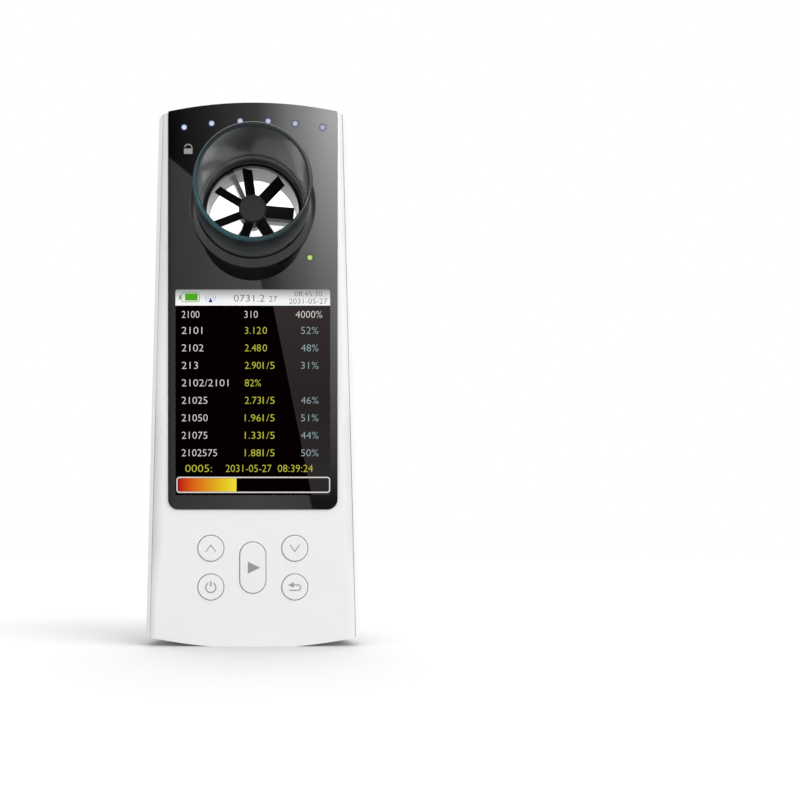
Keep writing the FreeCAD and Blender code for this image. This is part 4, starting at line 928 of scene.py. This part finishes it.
def floor_look():
    """White paper: the last step to white is for the camera only, and near the object it fades with the
    paper's colour into a painted shadow.
    """
    made, tree = material("floor_look")
    fine = noise(tree, 30.0, 2.0)
    closed = add(tree, "ShaderNodeAmbientOcclusion", Distance=SHADE_REACH, set_samples=8).outputs["AO"]
    seen = tree.nodes.new("ShaderNodeLightPath").outputs["Is Camera Ray"]
    # painted shadow: for the camera only, the floor darkens where the object closes it in
    painted_shadow = ramped(tree, closed, [0.0, 0.5, 0.8, 0.97, 1.0], [0.30, 0.60, 0.88, 1.0, 1.0])
    unseen = math_node(tree, "SUBTRACT", 1.0, seen)
    shade = math_node(tree, "MAXIMUM", painted_shadow, unseen)
    paper = mixed(tree, fine, (0.90, 0.90, 0.90), (0.92, 0.92, 0.92))
    diffuse = add(tree, "ShaderNodeBsdfDiffuse", Color=mixed(tree, shade, (0.10, 0.105, 0.105), paper))
    level = math_node(tree, "MULTIPLY", math_node(tree, "MULTIPLY", seen, shade), FLOOR_LIFT)
    lift = add(tree, "ShaderNodeEmission", Color=(1, 1, 1, 1), Strength=level)
    both = add(tree, "ShaderNodeAddShader")
    tree.links.new(diffuse.outputs[0], both.inputs[0])
    tree.links.new(lift.outputs[0], both.inputs[1])
    finish_material(tree, both.outputs[0])
    return made


# window light that only reflections see, laid out as the panel mirrors it to the camera; its edges in metres
# on the panel, and SHEEN_GAIN because the panel mirrors about 0.04 of what faces it

CARD_Y = -0.40
CARD_HALF = 0.45
CARD_LOW = 0.001
CARD_HIGH = 0.75
CARD_SOFT = 0.0001
FIELD_SLOPE = 0.84
FIELD_TOP = 0.1175
WEDGE_SLOPE = 0.2259
WEDGE_X = 0.0015
WEDGE_Z = 0.1056
MIRROR = (PANEL_FRONT - CARD_Y + PANEL_FRONT - EYE_Y) / (PANEL_FRONT - EYE_Y)
SHEEN_GAIN = 1 / 0.04


def card_look():
    """Bright to the upper right, with a fainter field at the left between two slanting edges."""
    made, tree = material("card_look")
    axes = axes_of(tree)
    x = math_node(tree, "MULTIPLY", axes[0], 1 / MIRROR)
    spread = math_node(tree, "MULTIPLY", math_node(tree, "SUBTRACT", axes[2], EYE_Z), 1 / MIRROR)
    z = math_node(tree, "ADD", spread, EYE_Z)
    columns = [-0.0232, -0.0142, -0.0052, 0.0015, 0.0060, 0.0105, 0.0150, 0.0195, 0.0230]
    right = ramped(tree, x, columns, [0.001, 0.011, 0.026, 0.040, 0.093, 0.168, 0.227, 0.320, 0.370])
    rows = [0.0411, 0.0719, 0.1036, 0.1109, 0.1255, 0.1365, 0.1474]
    fall = ramped(tree, z, rows, [0.02, 0.20, 0.40, 0.49, 0.68, 0.84, 1.0])
    bright = math_node(tree, "MULTIPLY", right, fall)
    field = ramped(tree, x, [-0.0240, -0.0222, 0.0015, 0.0150], [0.020, 0.034, 0.050, 0.036])
    lower = math_node(tree, "ADD", z, math_node(tree, "MULTIPLY", x, FIELD_SLOPE))
    first = step_below(tree, lower, FIELD_TOP, CARD_SOFT)
    lean = math_node(tree, "ADD", x, math_node(tree, "MULTIPLY", z, WEDGE_SLOPE))
    second = step_below(tree, lean, WEDGE_X + WEDGE_SLOPE * WEDGE_Z, CARD_SOFT)
    mask = math_node(tree, "MULTIPLY", first, second)
    total = math_node(tree, "ADD", bright, math_node(tree, "MULTIPLY", field, mask))
    shader = add(tree, "ShaderNodeEmission", Color=(1, 1, 1, 1),
                 Strength=math_node(tree, "MULTIPLY", total, SHEEN_GAIN))
    finish_material(tree, shader.outputs[0])
    return made


FLOOR_REACH = 3.0
plane("floor", [(-FLOOR_REACH, -FLOOR_REACH, 0), (FLOOR_REACH, -FLOOR_REACH, 0),
                (FLOOR_REACH, FLOOR_REACH, 0), (-FLOOR_REACH, FLOOR_REACH, 0)], floor_look())

card = plane("reflection_card", [(-CARD_HALF, CARD_Y, CARD_LOW), (CARD_HALF, CARD_Y, CARD_LOW),
                                 (CARD_HALF, CARD_Y, CARD_HIGH), (-CARD_HALF, CARD_Y, CARD_HIGH)],
             card_look())
card.visible_camera = False
card.visible_diffuse = False
card.visible_transmission = False
card.visible_shadow = False
card.visible_volume_scatter = False


def set_world():
    """Plain light, a little stronger from +X; the camera and clear or glossy surfaces see white."""
    world = bpy.data.worlds.new("studio")
    world.use_nodes = True
    tree = world.node_tree
    tree.nodes.clear()
    rays = tree.nodes.new("ShaderNodeLightPath").outputs
    seen = math_node(tree, "MAXIMUM", rays["Is Camera Ray"],
                     math_node(tree, "MAXIMUM", rays["Is Glossy Ray"], rays["Is Transmission Ray"]))
    toward = add(tree, "ShaderNodeSeparateXYZ",
                 Vector=tree.nodes.new("ShaderNodeTexCoord").outputs["Generated"]).outputs[0]
    level = ranged(tree, toward, -1.0, 1.0, 0.74, 1.02)
    lit = add(tree, "ShaderNodeBackground", Color=(1, 1, 1, 1), Strength=level)
    shown = add(tree, "ShaderNodeBackground", Color=(1, 1, 1, 1), Strength=1.0)
    both = layered(tree, seen, lit.outputs[0], shown.outputs[0])
    add(tree, "ShaderNodeOutputWorld", Surface=both)
    bpy.context.scene.world = world


def soft_sun(name, toward, strength, spread):
    """Broad daylight from one side; it stays even over the whole floor."""
    data = bpy.data.lights.new(name, "SUN")
    data.energy = strength
    data.angle = math.radians(spread)
    made = bpy.data.objects.new(name, data)
    made.rotation_euler = Vector(toward).to_track_quat("-Z", "Y").to_euler()
    bpy.context.collection.objects.link(made)
    return made


set_world()
sun = soft_sun("window_sun", (-0.62, 0.36, -0.70), 0.9, 40)
sun.visible_glossy = False


def set_camera():
    data = bpy.data.cameras.new("camera")
    data.sensor_width = 36.0
    data.lens = 28.08
    data.shift_x = 0.184
    data.shift_y = 0.188
    data.clip_start = 0.005
    made = bpy.data.objects.new("camera", data)
    made.location = (0, EYE_Y, EYE_Z)
    made.rotation_euler = (math.radians(90), 0, 0)
    bpy.context.collection.objects.link(made)
    bpy.context.scene.camera = made


set_camera()
bpy.context.scene.view_settings.view_transform = "Standard"
